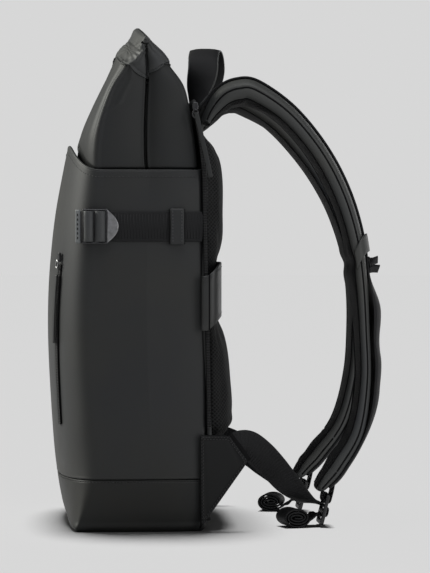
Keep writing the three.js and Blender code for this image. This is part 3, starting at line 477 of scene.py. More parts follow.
def framed(at, across):
    """Square directions along a path: across its width, and out of its face."""
    ahead = unit(np.gradient(at, axis=0))
    across = unit(across - ahead * np.sum(across * ahead, axis=1, keepdims=True))
    return across, np.cross(across, ahead), ahead


def hump(distance, reach):
    return np.exp(-((distance / reach) ** 2))


def bumps(distance, table):
    """Raised and sunk lines across a distance, from the height, middle and reach of each."""
    return sum(height * hump(distance - middle, reach) for height, middle, reach in table)


def grown(value, start, over):
    """A share that grows from 0 to 1, over a length that begins at a start."""
    return np.clip((value - start) / over, 0, 1)


def stepped(spans):
    """Steps through several spans, each given as its first, its last and how many."""
    return np.concatenate([np.linspace(*span) for span in spans])


def every(direction, count):
    return np.tile(np.asarray(direction, float), (count, 1))


def facing(direction, towards):
    """A direction, turned round where it points away from another one."""
    return direction if np.dot(direction, towards) > 0 else -direction


def closed_loop(column):
    return np.concatenate([column, column[:1]])


def level_direction(angle):
    """Level directions at angles from straight out of the right side."""
    return np.stack([np.cos(angle), np.sin(angle), 0 * angle], axis=-1)


def ripples(points, seed, length):
    """Smooth unevenness between about -1 and 1: waves of about one length in scattered directions."""
    draw = np.random.default_rng(seed)
    count = WAVES["count"]
    directions = unit(draw.normal(size=(count, 3)))
    lengths = length * draw.uniform(*WAVES["lengths"], count)
    starts = draw.uniform(0, 2 * math.pi, count)
    waves = np.sin(2 * math.pi * (points @ directions.T) / lengths + starts)
    return waves.sum(axis=-1) / (WAVES["calm"] * math.sqrt(count))


def slack(cloth, rows):
    height, seed, length = SLACK[cloth]
    return height * ripples(rows, seed, length)


def signed_power(value, square):
    return np.sign(value) * np.abs(value) ** (2 / square)


# Making meshes

def lay_weave(mesh, grid, looped, lids):
    """A UV map in metres: round or across each row, and along the rows."""
    shown = np.concatenate([grid, grid[:, :1]], axis=1) if looped else grid
    around = np.linalg.norm(np.diff(shown, axis=1), axis=2).mean(axis=0)
    ahead = np.linalg.norm(np.diff(shown, axis=0), axis=2).mean(axis=1)
    u = np.concatenate([[0], np.cumsum(around)]) * MM
    v = np.concatenate([[0], np.cumsum(ahead)]) * MM
    flat = np.stack(np.broadcast_arrays(u[None, :], v[:, None]), axis=-1)
    corners = [flat[:-1, :-1], flat[:-1, 1:], flat[1:, 1:], flat[1:, :-1]]
    parts = [np.stack(corners, axis=2).reshape(-1, 2)]
    if lids:
        count = grid.shape[1]
        parts += [flat[0, :count][::-1], flat[-1, :count]]
    layer = mesh.uv_layers.new(name="weave")
    layer.uv.foreach_set("vector", np.concatenate(parts).ravel().astype(np.float32))


def grid_mesh(name, grid, looped=True, lids=False):
    """A mesh from rows of points; a looped grid closes round each row, and lids close its ends."""
    rows, columns = grid.shape[:2]
    across = np.arange(columns if looped else columns - 1)
    row, column = np.meshgrid(np.arange(rows - 1) * columns, across, indexing="ij")
    after = (column + 1) % columns
    corners = [row + column, row + after, row + columns + after, row + columns + column]
    faces = np.stack(corners, axis=-1).reshape(-1, 4).tolist()
    if lids:
        faces.append(list(range(columns))[::-1])
        faces.append(list(range((rows - 1) * columns, rows * columns)))
    mesh = bpy.data.meshes.new(name)
    mesh.from_pydata((grid.reshape(-1, 3) * MM).tolist(), [], faces)
    lay_weave(mesh, grid, looped, lids)
    mesh.shade_smooth()
    return mesh


def points_of(mesh):
    points = np.empty(len(mesh.vertices) * 3)
    mesh.vertices.foreach_get("co", points)
    return points.reshape(-1, 3)


def add_face(mesh, corners):
    """Adds one face to a mesh, which is made afresh with it."""
    points = points_of(mesh)
    faces = [list(face.vertices) for face in mesh.polygons] + [list(corners)]
    mesh.clear_geometry()
    mesh.from_pydata(points.tolist(), [], faces)
    mesh.shade_smooth()


def volume(mesh):
    mesh.calc_loop_triangles()
    corners = np.empty(len(mesh.loop_triangles) * 3, int)
    mesh.loop_triangles.foreach_get("vertices", corners)
    a, b, c = points_of(mesh)[corners.reshape(-1, 3)].transpose(1, 0, 2)
    return np.sum(a * np.cross(b, c))


def face_out(mesh):
    """Turns a closed mesh's faces outwards."""
    if volume(mesh) < 0:
        mesh.flip_normals()
    return mesh


def closed_mesh(name, grid):
    """A closed mesh from looped rows, with a lid on each end."""
    return face_out(grid_mesh(name, grid, lids=True))


# Pieces that hang clear of the floor, by the start of their names
HANGING = ("strap_", "strip_", "cuff_", "tab_", "handle_", "webbing_", "end_tab_")
SHADELESS = bpy.data.collections.new("floor_shade_skips")


def add_piece(mesh, material, nodes=(), wall=0):
    """Puts a finished mesh in the scene as a piece of the bag; a wall grows inwards from the mesh."""
    piece = bpy.data.objects.new(mesh.name, mesh)
    bpy.context.scene.collection.objects.link(piece)
    if not mesh.materials:
        mesh.materials.append(material)
    if wall:
        solid = piece.modifiers.new("wall", "SOLIDIFY")
        solid.thickness = wall * MM
        solid.offset = -1
    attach(piece, BODY_NAME)
    if mesh.name.startswith(HANGING):
        SHADELESS.objects.link(piece)
    if nodes:
        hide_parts(*nodes)
    return piece


def mirrored(points, side):
    return points * np.array([SIDES[side], 1, 1])


def ribbon_section(width, thick):
    """Round-edged flat section of a strap: across its width, and out of its face."""
    edge = thick * RIBBON["edge"]
    reach, rise = width / 2 - edge, thick / 2 - edge
    points = []
    for x, y, turn in [(1, 1, 0), (-1, 1, 90), (-1, -1, 180), (1, -1, 270)]:
        for angle in np.radians([turn, turn + 45, turn + 90]):
            points.append((x * reach + edge * math.cos(angle), y * rise + edge * math.sin(angle)))
        if turn in (0, 180):
            flat = np.linspace(points[-1][0], -points[-1][0], RIBBON["flat_steps"] + 2)[1:-1]
            points += [(value, points[-1][1]) for value in flat]
    return np.array(points)


def swept(at, across, section, widths=None):
    """Rows of a section carried along a path; widths may scale the section's width from row to row."""
    across, out, _ = framed(at, across)
    scale = np.ones(len(at)) if widths is None else np.asarray(widths)
    wide = section[None, :, :1] * scale[:, None, None]
    return at[:, None] + across[:, None] * wide + out[:, None] * section[None, :, 1:]


def ribbon(name, at, across, width, thick, side="right", widths=None):
    return closed_mesh(name, mirrored(swept(at, across, ribbon_section(width, thick), widths), side))


def tube(name, path, radius, looped=False, sides=TUBE_SIDES):
    """A round bead along a path."""
    steps = np.roll(path, -1, axis=0) - np.roll(path, 1, axis=0) if looped else np.gradient(path, axis=0)
    ahead = unit(steps)
    up = np.where(np.abs(ahead[:, 2:]) > STEEP, Y_AXIS, Z_AXIS)
    first = unit(np.cross(ahead, up))
    second = np.cross(ahead, first)
    turn = np.linspace(0, 2 * math.pi, sides, endpoint=False)
    ring = first[:, None] * np.cos(turn)[None, :, None] + second[:, None] * np.sin(turn)[None, :, None]
    rows = path[:, None] + radius * ring
    return face_out(grid_mesh(name, closed_loop(rows) if looped else rows, lids=not looped))


# Rows of small pieces, made with Geometry Nodes

def row_tree():
    tree = bpy.data.node_groups.new("row_of_pieces", "GeometryNodeTree")
    inputs = [
        ("Spots", "Geometry"), ("Piece", "Object"), ("Size", "Vector"),
        ("Unevenness", "Float"), ("Seed", "Int"), ("Finish", "Material"),
    ]
    for name, kind in inputs:
        tree.interface.new_socket(name, in_out="INPUT", socket_type=f"NodeSocket{kind}")
    tree.interface.new_socket("Row", in_out="OUTPUT", socket_type="NodeSocketGeometry")
    node, link = tree.nodes.new, tree.links.new
    given, result = node("NodeGroupInput"), node("NodeGroupOutput")

    def direction(name):
        read = node("GeometryNodeInputNamedAttribute")
        read.data_type = "FLOAT_VECTOR"
        read.inputs["Name"].default_value = name
        return read.outputs["Attribute"]

    turn = node("FunctionNodeAlignRotationToVector")
    turn.axis = "Y"
    link(direction("ahead"), turn.inputs["Vector"])
    roll = node("FunctionNodeAlignRotationToVector")
    roll.axis, roll.pivot_axis = "Z", "Y"
    link(turn.outputs["Rotation"], roll.inputs["Rotation"])
    link(direction("out"), roll.inputs["Vector"])

    draw = node("FunctionNodeRandomValue")
    draw.data_type = "FLOAT_VECTOR"
    draw.inputs[0].default_value = (-1, -1, -1)
    link(given.outputs["Seed"], draw.inputs["Seed"])
    uneven = node("ShaderNodeVectorMath")
    uneven.operation = "SCALE"
    link(draw.outputs[0], uneven.inputs[0])
    link(given.outputs["Unevenness"], uneven.inputs["Scale"])
    sized = node("ShaderNodeVectorMath")
    sized.operation = "MULTIPLY_ADD"
    link(uneven.outputs[0], sized.inputs[0])
    link(given.outputs["Size"], sized.inputs[1])
    link(given.outputs["Size"], sized.inputs[2])

    pattern = node("GeometryNodeObjectInfo")
    link(given.outputs["Piece"], pattern.inputs["Object"])
    place = node("GeometryNodeInstanceOnPoints")
    link(given.outputs["Spots"], place.inputs["Points"])
    link(pattern.outputs["Geometry"], place.inputs["Instance"])
    link(roll.outputs["Rotation"], place.inputs["Rotation"])
    link(sized.outputs[0], place.inputs["Scale"])
    real = node("GeometryNodeRealizeInstances")
    link(place.outputs["Instances"], real.inputs["Geometry"])
    finish = node("GeometryNodeSetMaterial")
    link(real.outputs["Geometry"], finish.inputs["Geometry"])
    link(given.outputs["Finish"], finish.inputs["Material"])
    link(finish.outputs["Geometry"], result.inputs["Row"])
    return tree


def bead_pattern(name, square):
    """A rounded bar one unit long, wide and high, which rows repeat."""
    turn = np.linspace(0, 2 * math.pi, BEAD["sides"], endpoint=False)
    rise = np.linspace(-math.pi / 2, math.pi / 2, BEAD["levels"])[1:-1]
    ring = np.stack([np.cos(turn), 0 * turn, np.sin(turn)], axis=1)
    wide = signed_power(np.cos(rise), square)
    long = signed_power(np.sin(rise), square)
    rows = ring[None] * wide[:, None, None] + np.stack([0 * long, long, 0 * long], axis=1)[:, None]
    mesh = closed_mesh(name, rows / 2 / MM)
    pattern = bpy.data.objects.new(name, mesh)
    bpy.context.scene.collection.objects.link(pattern)
    return pattern


ROW_TREE = row_tree()
STITCH_PATTERN = bead_pattern("stitch_pattern", square=2.6)
RIB_PATTERN = bead_pattern("rib_pattern", square=6)
TOOTH_PATTERN = bead_pattern("tooth_pattern", square=4)


def row_of(name, pattern, spots, size, material, unevenness=ROW["uneven"]):
    """Repeats a small piece at spots, each a place, a direction ahead and a direction out."""
    at, ahead, out = (np.concatenate(column) for column in zip(*spots))
    mesh = bpy.data.meshes.new(name)
    mesh.from_pydata((at * MM).tolist(), [], [])
    for label, values in (("ahead", ahead), ("out", out)):
        layer = mesh.attributes.new(label, "FLOAT_VECTOR", "POINT")
        layer.data.foreach_set("vector", values.ravel().astype(np.float32))
    row = bpy.data.objects.new(name, mesh)
    bpy.context.scene.collection.objects.link(row)
    nodes = row.modifiers.new("row", "NODES")
    nodes.node_group = ROW_TREE
    values = {
        "Piece": pattern, "Size": [part * MM for part in size],
        "Unevenness": unevenness, "Seed": ROW["seed"], "Finish": material,
    }
    for socket in ROW_TREE.interface.items_tree:
        if socket.in_out == "INPUT" and socket.name in values:
            nodes[socket.identifier] = values[socket.name]
    graph = bpy.context.evaluated_depsgraph_get()
    made = bpy.data.meshes.new_from_object(row.evaluated_get(graph))
    bpy.data.objects.remove(row)
    bpy.data.meshes.remove(mesh)
    made.name = name
    made.shade_smooth()
    return add_piece(made, material)


def seam(path, out, lift=0.0, pitch=STITCH_PITCH):
    """Spots for stitches along a path on a surface whose outward direction is known."""
    at, out = resampled(path, pitch, out)
    middle = (at[1:] + at[:-1]) / 2
    out = unit(out[1:] + out[:-1])
    return middle + out * lift, unit(np.diff(at, axis=0)), out


def mirrored_spots(spots, side):
    return tuple(mirrored(column, side) for column in spots)


# Finishes: places on a colour ramp with their colours, and how far roughness varies

COATED_TONES = [
    (0.35, (0.0165, 0.0175, 0.0185)),
    (0.55, (0.0185, 0.0192, 0.0185)),
    (0.7, (0.0205, 0.0207, 0.019)),
]
WEBBING_TONES = [(0.1, (0.0125, 0.0128, 0.0138)), (0.7, (0.004, 0.004, 0.0045))]
MESH_TONES = [(0.22, (0.001, 0.001, 0.001)), (0.5, (0.017, 0.0172, 0.0175))]
WEAR_TONES = [(0.3, 0.8), (0.7, 1.2)]
WIPED = 0.14
WEAR = 0.07


def finish(name, constants):
    material = bpy.data.materials.new(name)
    material.use_nodes = True
    shader = material.node_tree.nodes["Principled BSDF"]
    for socket, value in constants.items():
        shader.inputs[socket].default_value = value
    return material, material.node_tree.nodes.new, material.node_tree.links.new, shader


def texture(node, link, kind, source, **settings):
    made = node(f"ShaderNodeTex{kind}")
    for socket, value in settings.items():
        made.inputs[socket.replace("_", " ").title()].default_value = value
    link(source, made.inputs["Vector"])
    return made


def tones(node, link, source, stops):
    """A colour ramp between tones, each with its place."""
    ramp = node("ShaderNodeValToRGB")
    steps = ramp.color_ramp.elements
    for step, (place, colour) in zip(steps, (stops[0], stops[-1])):
        step.position, step.color = place, (*colour, 1)
    for place, colour in stops[1:-1]:
        steps.new(place).color = (*colour, 1)
    link(source, ramp.inputs["Fac"])
    return ramp.outputs["Color"]


def spread(node, link, source, low, high):
    ranged = node("ShaderNodeMapRange")
    ranged.inputs["To Min"].default_value, ranged.inputs["To Max"].default_value = low, high
    link(source, ranged.inputs["Value"])
    return ranged.outputs["Result"]


def bump(node, link, source, strength, distance, under=None):
    made = node("ShaderNodeBump")
    made.inputs["Strength"].default_value = strength
    made.inputs["Distance"].default_value = distance * MM
    link(source, made.inputs["Height"])
    if under:
        link(under, made.inputs["Normal"])
    return made.outputs["Normal"]


def shaded(colour, shade):
    return tuple(part * shade for part in colour)


def coated_cloth(name, shade=1.0, gloss=0.36, rough=0.48):
    """Rubbery coating on black cloth: clouded tone, wiped gloss, a fine grain and a faint weave. A shade
    other than 1 makes a lighter or darker copy, which paints light or shade into its tone.
    """
    material, node, link, shader = finish(name, {"Specular IOR Level": gloss})
    place = node("ShaderNodeTexCoord").outputs["Object"]
    cloud = texture(node, link, "Noise", place, scale=11, detail=4)
    stops = [(at, shaded(colour, shade)) for at, colour in COATED_TONES]
    link(tones(node, link, cloud.outputs["Fac"], stops), shader.inputs["Base Color"])
    wipe = texture(node, link, "Noise", place, scale=45, detail=5, roughness=0.6)
    wiped = spread(node, link, wipe.outputs["Fac"], low=rough, high=rough + WIPED)
    link(wiped, shader.inputs["Roughness"])
    grain = texture(node, link, "Noise", place, scale=2200, detail=2)
    weave = texture(node, link, "Voronoi", place, scale=1100)
    fine = bump(node, link, grain.outputs["Fac"], strength=0.25, distance=0.12)
    woven = bump(node, link, weave.outputs["Distance"], strength=0.12, distance=0.15, under=fine)
    link(woven, shader.inputs["Normal"])
    return material


def woven_places(node, link):
    """The flat map of a woven piece, straight and turned by an eighth of a circle."""
    flat = node("ShaderNodeUVMap")
    flat.uv_map = "weave"
    turned = node("ShaderNodeMapping")
    turned.inputs["Rotation"].default_value = (0, 0, math.radians(45))
    link(flat.outputs["UV"], turned.inputs["Vector"])
    return flat.outputs["UV"], turned.outputs["Vector"]


def webbing():
    """Ribbed nylon: rows of slanted yarns, darker between them."""
    material, node, link, shader = finish("webbing", {"Roughness": 0.66, "Specular IOR Level": 0.22})
    straight, turned = woven_places(node, link)
    twill = texture(node, link, "Voronoi", turned, scale=900, randomness=0.15)
    twill.voronoi_dimensions = "2D"
    yarn = texture(node, link, "Noise", straight, scale=300, detail=3)
    link(tones(node, link, twill.outputs["Distance"], WEBBING_TONES), shader.inputs["Base Color"])
    soft = bump(node, link, yarn.outputs["Fac"], strength=0.2, distance=0.2)
    ridged = bump(node, link, twill.outputs["Distance"], strength=0.5, distance=-0.35, under=soft)
    link(ridged, shader.inputs["Normal"])
    return material


def spacer_mesh():
    """Padding mesh: rows of dark holes in a dull knit."""
    material, node, link, shader = finish("spacer_mesh", {"Roughness": 0.8, "Specular IOR Level": 0.2})
    _, turned = woven_places(node, link)
    holes = texture(node, link, "Voronoi", turned, scale=380, randomness=0.12)
    holes.voronoi_dimensions = "2D"
    link(tones(node, link, holes.outputs["Distance"], MESH_TONES), shader.inputs["Base Color"])
    link(bump(node, link, holes.outputs["Distance"], strength=0.9, distance=0.9), shader.inputs["Normal"])
    return material


def plain_finish(name, colour, roughness, metallic=0.0, gloss=0.5):
    """Metal, plastic, zip tape and thread: one colour with fine wear and grain."""
    material, node, link, shader = finish(name, {"Metallic": metallic, "Specular IOR Level": gloss})
    place = node("ShaderNodeTexCoord").outputs["Object"]
    wear = texture(node, link, "Noise", place, scale=260, detail=4)
    stops = [(at, shaded(colour, shade)) for at, shade in WEAR_TONES]
    link(tones(node, link, wear.outputs["Fac"], stops), shader.inputs["Base Color"])
    worn = spread(node, link, wear.outputs["Fac"], low=roughness - WEAR, high=roughness + WEAR)
    link(worn, shader.inputs["Roughness"])
    grain = texture(node, link, "Noise", place, scale=2080, detail=2)
    link(bump(node, link, grain.outputs["Fac"], strength=0.12, distance=0.1), shader.inputs["Normal"])
    return material


COATED = coated_cloth("coated_cloth")
# Darker, less glossy copy for the wings: the darker tone is painted shade, as the wings face away from the
# light.
SHADED_DULL_COATED = coated_cloth("dull_coated_cloth", shade=0.42, gloss=0.15)
# Much lighter copy for straps, cuffs, buckle loops and handle edges: painted light, as the same coating on
# the body is darker.
LIT_STRAP_CLOTH = coated_cloth("strap_cloth", shade=2.3)
# Slightly darker, less glossy copy for the base: the darker tone is painted shade, as the base faces a little
# downwards.
SHADED_BASE_CLOTH = coated_cloth("base_coated_cloth", shade=0.95, gloss=0.23)
COLLAR_CLOTH = coated_cloth("collar_coated_cloth", gloss=0.26)
# Lighter copy for the folded top: painted light, as its front catches the light from the front and above.
LIT_CAP_CLOTH = coated_cloth("cap_coated_cloth", shade=1.6)
BAND_CLOTH = coated_cloth("band_cloth", gloss=0.45, rough=0.38)
# Far lighter copy for the anchor bar: a painted highlight, as the bar faces the front light.
LIT_ANCHOR_CLOTH = coated_cloth("pale_coated_cloth", shade=6.5)
WEBBING = webbing()
MESH = spacer_mesh()
GUNMETAL = plain_finish("gunmetal", (0.24, 0.24, 0.245), roughness=0.36, metallic=0.9)
DARK_METAL = plain_finish("dark_metal", (0.05, 0.05, 0.052), roughness=0.34, metallic=0.8)
STEEL = plain_finish("steel", (0.32, 0.32, 0.32), roughness=0.3, metallic=1.0)
PLASTIC = plain_finish("black_plastic", (0.009, 0.009, 0.0095), roughness=0.42)
ZIP_TAPE = plain_finish("zip_tape", (0.003, 0.003, 0.0033), roughness=0.75, gloss=0.12)
THREAD = plain_finish("thread", (0.018, 0.018, 0.019), roughness=0.6)
PALE_THREAD = plain_finish("pale_thread", (0.05, 0.05, 0.055), roughness=0.6)


def stitches(name, spots, thread=THREAD):
    row_of(name, STITCH_PATTERN, spots, STITCH, thread)


def web_piece(name, node, at, across, side, width=WEB_WIDTH, thick=WEB_THICK):
    """Webbing along a path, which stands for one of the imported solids."""
    mesh = ribbon(f"{name}_{side}", at, across, width, thick, side)
    add_piece(mesh, WEBBING, [f"{node}_{side}"])


# The bag's outlines, whose points lie on the back, in its corners, on the sides or on the front

BACK, CORNER, SIDE, FRONT = range(4)


def ring_places():
    """Right half of an outline from the middle of the back to the middle of the front, then the left half."""
    spread_out = np.linspace(-1, 1, SIDE_STEPS + 1)
    room = np.where(spread_out < 0, PLEAT_ALONG, 1 - PLEAT_ALONG)
    side = PLEAT_ALONG + np.sign(spread_out) * np.abs(spread_out) ** FOLD_CROWDING * room
    parts = [
        (BACK, np.linspace(0, 1, BACK_STEPS, endpoint=False)),
        (CORNER, np.linspace(0, math.pi / 2, CORNER_STEPS, endpoint=False)),
        (SIDE, side),
        (FRONT, np.linspace(0, math.pi / 2, FRONT_STEPS + 1)[1:]),
    ]
    kinds = np.concatenate([np.full(len(values), kind) for kind, values in parts])
    places = np.concatenate([values for _, values in parts])

    def both_halves(column, sign=1):
        return np.concatenate([column, sign * column[1:-1][::-1]])[::-1]

    return both_halves(kinds), both_halves(places), both_halves(np.ones(len(kinds)), sign=-1)


RING_KIND, RING_PLACE, RING_SIGN = ring_places()
ON_BACK, ON_SIDE, ON_FRONT = RING_KIND <= CORNER, RING_KIND == SIDE, RING_KIND == FRONT
FRONT_TURN = np.where(ON_FRONT, RING_PLACE, 0)


def side_turn(place):
    """Share of the half width by which a side draws in, from its back edge at 0 to its front edge at 1."""
    back_reach, front_reach = SIDE_TURN_REACH
    back = grown(back_reach - place, 0, back_reach) ** 2
    front = grown(place, 1 - front_reach, front_reach) ** 2
    return SIDE_TURN[0] * back + SIDE_TURN[1] * front


def outline(levels):
    """Level outlines from their sizes, and how much of the front's and the back's arch each point takes."""
    half, front, back, round_, square, pleat = np.moveaxis(levels, -1, 0)
    place = RING_PLACE
    half = half * (1 - side_turn(np.select([ON_BACK, ON_SIDE], [0 * place, place], 1)))
    depth = back - front
    corner = np.minimum(BACK_CORNER, depth / 4)
    sweep = np.minimum(round_, depth / 2)
    reach = np.where(place > PLEAT_ALONG, PLEAT_REACH[1], PLEAT_REACH[0])
    wide = np.exp(-((np.abs(place - PLEAT_ALONG) / reach) ** PLEAT_SHAPE))
    front_x = half * np.maximum(np.cos(FRONT_TURN), 0) ** (2 / square)
    front_y = front + sweep - sweep * np.sin(FRONT_TURN) ** (2 / square)
    back_turn = np.where(RING_KIND == CORNER, place, 0)
    corner_x = half - corner + corner * np.sin(back_turn)
    corner_y = back - corner + corner * np.cos(back_turn)
    side_y = back - corner + (front + sweep - back + corner) * place
    kinds = [RING_KIND == BACK, RING_KIND == CORNER, ON_SIDE]
    x = np.select(kinds, [(half - corner) * place, corner_x, half - pleat * wide], front_x)
    y = np.select(kinds, [back, corner_y, side_y], front_y)
    arch = 1 - (x / half) ** EDGE_ARCH
    return x * RING_SIGN, y, np.where(ON_FRONT, arch, 0), np.where(ON_BACK, arch, 0)


def bag_rows(edges, table, inset=0.0, lift=0.0):
    """Rows round the bag whose heights follow arched edges, given at the sides, the front and the back."""
    side, front, back = (np.asarray(edges, float)[:, k : k + 1] for k in range(3))
    around = np.ones((1, len(RING_KIND)))
    _, _, front_share, back_share = outline(at_height(table, side * around))
    front_share, back_share = np.abs(front_share), np.abs(back_share)
    heights = side + (front - side) * front_share + (back - side) * back_share + lift
    levels = at_height(table, heights)
    levels = levels + np.asarray(inset)[..., None] * np.array([-1, 1, -1, 0, 0, 0])
    x, y, _, _ = outline(levels)
    return np.stack([x, y, heights], axis=-1)


def between(low, high, shares):
    low, high = np.asarray(low, float), np.asarray(high, float)
    return low + (high - low) * np.asarray(shares)[:, None]


def level_edges(heights):
    """Edges as high at the sides as at the front and the back."""
    return np.repeat(np.reshape(heights, (-1, 1)), 3, axis=1)


def outwards(rows):
    """Outward directions of rows that run round the bag, from the bottom up."""
    around = np.roll(rows, -1, axis=1) - np.roll(rows, 1, axis=1)
    return unit(np.cross(around, np.gradient(rows, axis=0)))


def raised(rows, relief):
    return rows + outwards(rows) * relief[..., None]


# Cloth of the bag

def base():
    rows = bag_rows(level_edges(stepped(BASE_ROWS)), BODY)
    z = rows[..., 2]
    soft = slack("base", rows) * grown(z, 0, SLACK_FROM["base"])
    rows = raised(rows, bumps(z - SEAM_HEIGHT, BASE_DENTS) + soft)
    rows[0, :, 2] = 0
    mesh = grid_mesh("base_cloth", rows)
    add_face(mesh, range(len(RING_KIND))[::-1])
    mesh.set_sharp_from_angle(angle=SHARP["cloth"])
    # The base's darker copy of the coated cloth paints its shade.
    add_piece(mesh, SHADED_BASE_CLOTH, ["base_tub"], CLOTH)
    around = BASE_SEAM["around"]
    lines = bag_rows(level_edges(SEAM_HEIGHT - BASE_SEAM["below"] + np.array([-around, 0, around])), BODY)
    spots = seam(closed_loop(lines[1]), closed_loop(outwards(lines)[1]), BASE_SEAM["lift"])
    stitches("base_stitches", [spots])


def shell():
    rows = bag_rows(between(SHELL_FOOT, SHELL_RIM, stepped(SHELL_ROWS)), BODY)
    above_seam = rows[..., 2] - SEAM_HEIGHT
    soft = slack("shell", rows) * grown(above_seam, 0, SLACK_FROM["shell"])
    rows = raised(rows, bumps(above_seam, SHELL_DENTS) + soft)
    add_piece(grid_mesh("shell_cloth", rows), COATED, ["main_shell"], CLOTH)
    out = outwards(rows)
    rim = rows[-1] - out[-1] * HEM_BEAD["in"]
    add_piece(tube("pocket_hem", rim, HEM_BEAD["radius"], looped=True), COATED)
    row = HEM_BEAD["stitch_row"]
    stitches("pocket_stitches", [seam(closed_loop(rows[row]), closed_loop(out[row]), FLAT_STITCH)])


def from_fold(rows):
    """How far in front of the middle fold of its side each point lies; the front and back lie far from it."""
    fold = np.flatnonzero(ON_SIDE & (np.abs(RING_PLACE - PLEAT_ALONG) < TINY))[0]
    distance = rows[:, fold, 1][:, None] - rows[..., 1]
    return np.where(ON_SIDE, distance, FAR)


def pleat_groove(rows, depth, width):
    """Pulls the cloth into a tight fold down the middle of each side, between two rounded lips."""
    distance = np.abs(from_fold(rows)) / width
    lips = FOLD_LIPS["height"] * hump(distance - FOLD_LIPS["off"], FOLD_LIPS["reach"])
    return lips - depth * np.exp(-(distance ** FOLD_LIPS["shape"]))


def collar():
    stands = stepped(COLLAR_ROWS)
    shown, hidden = (count for _, _, count in COLLAR_ROWS)
    tucked = grown(np.arange(len(stands)), shown - 1, hidden)[:, None]
    edges = between(COLLAR_FOOT, CAP_FOOT, stands) + COLLAR_TUCK * tucked
    rows = bag_rows(edges, COLLAR, TUCK_INSET * tucked, stands[:, None] ** 2 * hem_lift())
    z = rows[..., 2]
    turn = np.degrees(FRONT_TURN) + slack("collar_creases", rows)
    creases = np.where(ON_FRONT, bumps(turn, COLLAR_CREASES), 0)
    distance = from_fold(rows)
    branch = hump(distance - np.interp(z, *zip(*BRANCH)), BRANCH_FOLD["reach"])
    branch = BRANCH_FOLD["height"] * branch * grown(z, BRANCH_FOLD["from"], BRANCH_FOLD["over"])
    soft = slack("collar", rows) * (1 - hump(distance, COLLAR_CALM))
    rim = bag_rows([SHELL_RIM], BODY)[..., 2] + RIM_HOLLOW["above"]
    hollow = np.where(ON_FRONT, RIM_HOLLOW["front"], RIM_HOLLOW["side"])
    hollow = hollow * grown(rim - z, 0, RIM_HOLLOW["over"])
    relief = pleat_groove(rows, *COLLAR_PLEAT) + branch + hollow + grown(z, *COLLAR_FREE) * (creases + soft)
    mesh = grid_mesh("collar_cloth", raised(rows, relief))
    add_piece(mesh, COLLAR_CLOTH, ["roll_collar"], CLOTH)


def hem_lift():
    """How far the folded top's lower edge rises towards its corners, with a step behind the middle fold."""
    across = np.abs(bag_rows([CAP_FOOT], COLLAR)[0, :, 0])
    ahead = grown(RING_PLACE, PLEAT_ALONG, 1 - PLEAT_ALONG)
    behind = grown(PLEAT_ALONG - RING_PLACE, 0, PLEAT_ALONG)
    front, fold, back = HEM_RISE["front"], HEM_RISE["fold"], HEM_RISE["back"]
    side = front * ahead ** HEM_CURVE["front"] + fold * grown(behind, 0, HEM_CURVE["fold"])
    side = side + (back - fold) * behind ** HEM_CURVE["back"]
    edge = (across / across.max()) ** EDGE_ARCH
    return np.select([ON_SIDE, ON_FRONT], [side, front * edge], back * edge)


def cap_rows(shares):
    """Rows of the folded top from its lower edge up to its ridge, which falls straight to both ends."""
    lift = hem_lift()
    near_fold = np.where(ON_SIDE, 1 - np.abs(RING_PLACE - PLEAT_ALONG) / PLEAT_ALONG, 0)
    rims = [bag_rows([CAP_FOOT], COLLAR, -CAP_PROUD, lift)[0]]
    for rise, *sizes in CAP:
        side, front, back = between(CAP_FOOT, CAP_RIDGE, [rise])[0]
        levels = np.broadcast_to(np.array(sizes, float), (1, len(RING_KIND), len(sizes)))
        x, y, _, _ = (column[0] for column in outline(levels))
        outer = np.abs(x) / np.abs(x).max()
        arch = 1 - outer ** (EDGE_ARCH + (RIDGE_ARCH - EDGE_ARCH) * rise)
        heights = side + arch * np.select([ON_FRONT, ON_BACK], [front - side, back - side], 0)
        bow = RIDGE_BOW[0] + RIDGE_BOW[1] * outer ** 2
        y = y - near_fold * np.interp(rise, *zip(*CAP_FOLD_AHEAD)) + rise ** 2 * bow
        rims.append(np.stack([x, y, heights + lift * (1 - rise) ** 2], axis=1))
    rises = [0] + [row[0] for row in CAP]
    table = np.column_stack([rises, np.array(rims).reshape(len(rims), -1)])
    return at_height(table, shares).reshape(len(shares), -1, 3)


def cap():
    shares = stepped(CAP_ROWS)
    rows = cap_rows(shares)
    rise = shares[:, None]
    turn = np.degrees(FRONT_TURN)
    fades = {name: grown(end - rise, 0, over) for name, (end, over) in CAP_FADE.items()}
    groove = pleat_groove(rows, *CAP_PLEAT) * fades["fold"]
    ones = np.ones_like(RING_SIGN)
    knot = rows - np.array(CAP_KNOT) * np.stack([RING_SIGN, ones, ones], axis=-1)
    far = np.linalg.norm(knot, axis=-1)
    bearing = np.arctan2(knot[..., 2], knot[..., 1])
    uneven = slack("cap", rows)
    swirl = np.sin(2 * math.pi * far / CAP_SWIRL["length"] + uneven) * hump(far, CAP_SWIRL["reach"])
    gathers = np.cos(CAP_GATHERS["count"] * bearing + CAP_GATHERS["sway"] * uneven)
    gathers = gathers * grown(far, CAP_GATHERS["from"], CAP_GATHERS["over"])
    gathers = gathers * grown(turn, 0, CAP_GATHERS["turn"])
    tuck = hump(rise - CAP_TUCK["rise"] + CAP_TUCK["slope"] * turn, CAP_TUCK["reach"])
    tuck = tuck * grown(turn, 0, CAP_TUCK["turn"])
    folds = CAP_SWIRL["height"] * swirl + CAP_GATHERS["height"] * gathers + CAP_TUCK["height"] * tuck
    cloth = np.where(ON_FRONT, folds + bumps(turn, CAP_CORNER), CAP_SLACK * uneven)
    relief = groove + bumps(rise, CAP_HEM) + fades["cloth"] * cloth
    mesh = grid_mesh("cap_cloth", raised(rows, relief))
    last_row = np.arange(len(RING_KIND)) + (len(shares) - 1) * len(RING_KIND)
    add_face(mesh, last_row.tolist())
    # The lighter copy of the coated cloth paints light on the folded top.
    add_piece(mesh, LIT_CAP_CLOTH, ["roll_cap"], CLOTH)


def back_face(z):
    return at_height(BACK_PANEL, z)[..., 1]


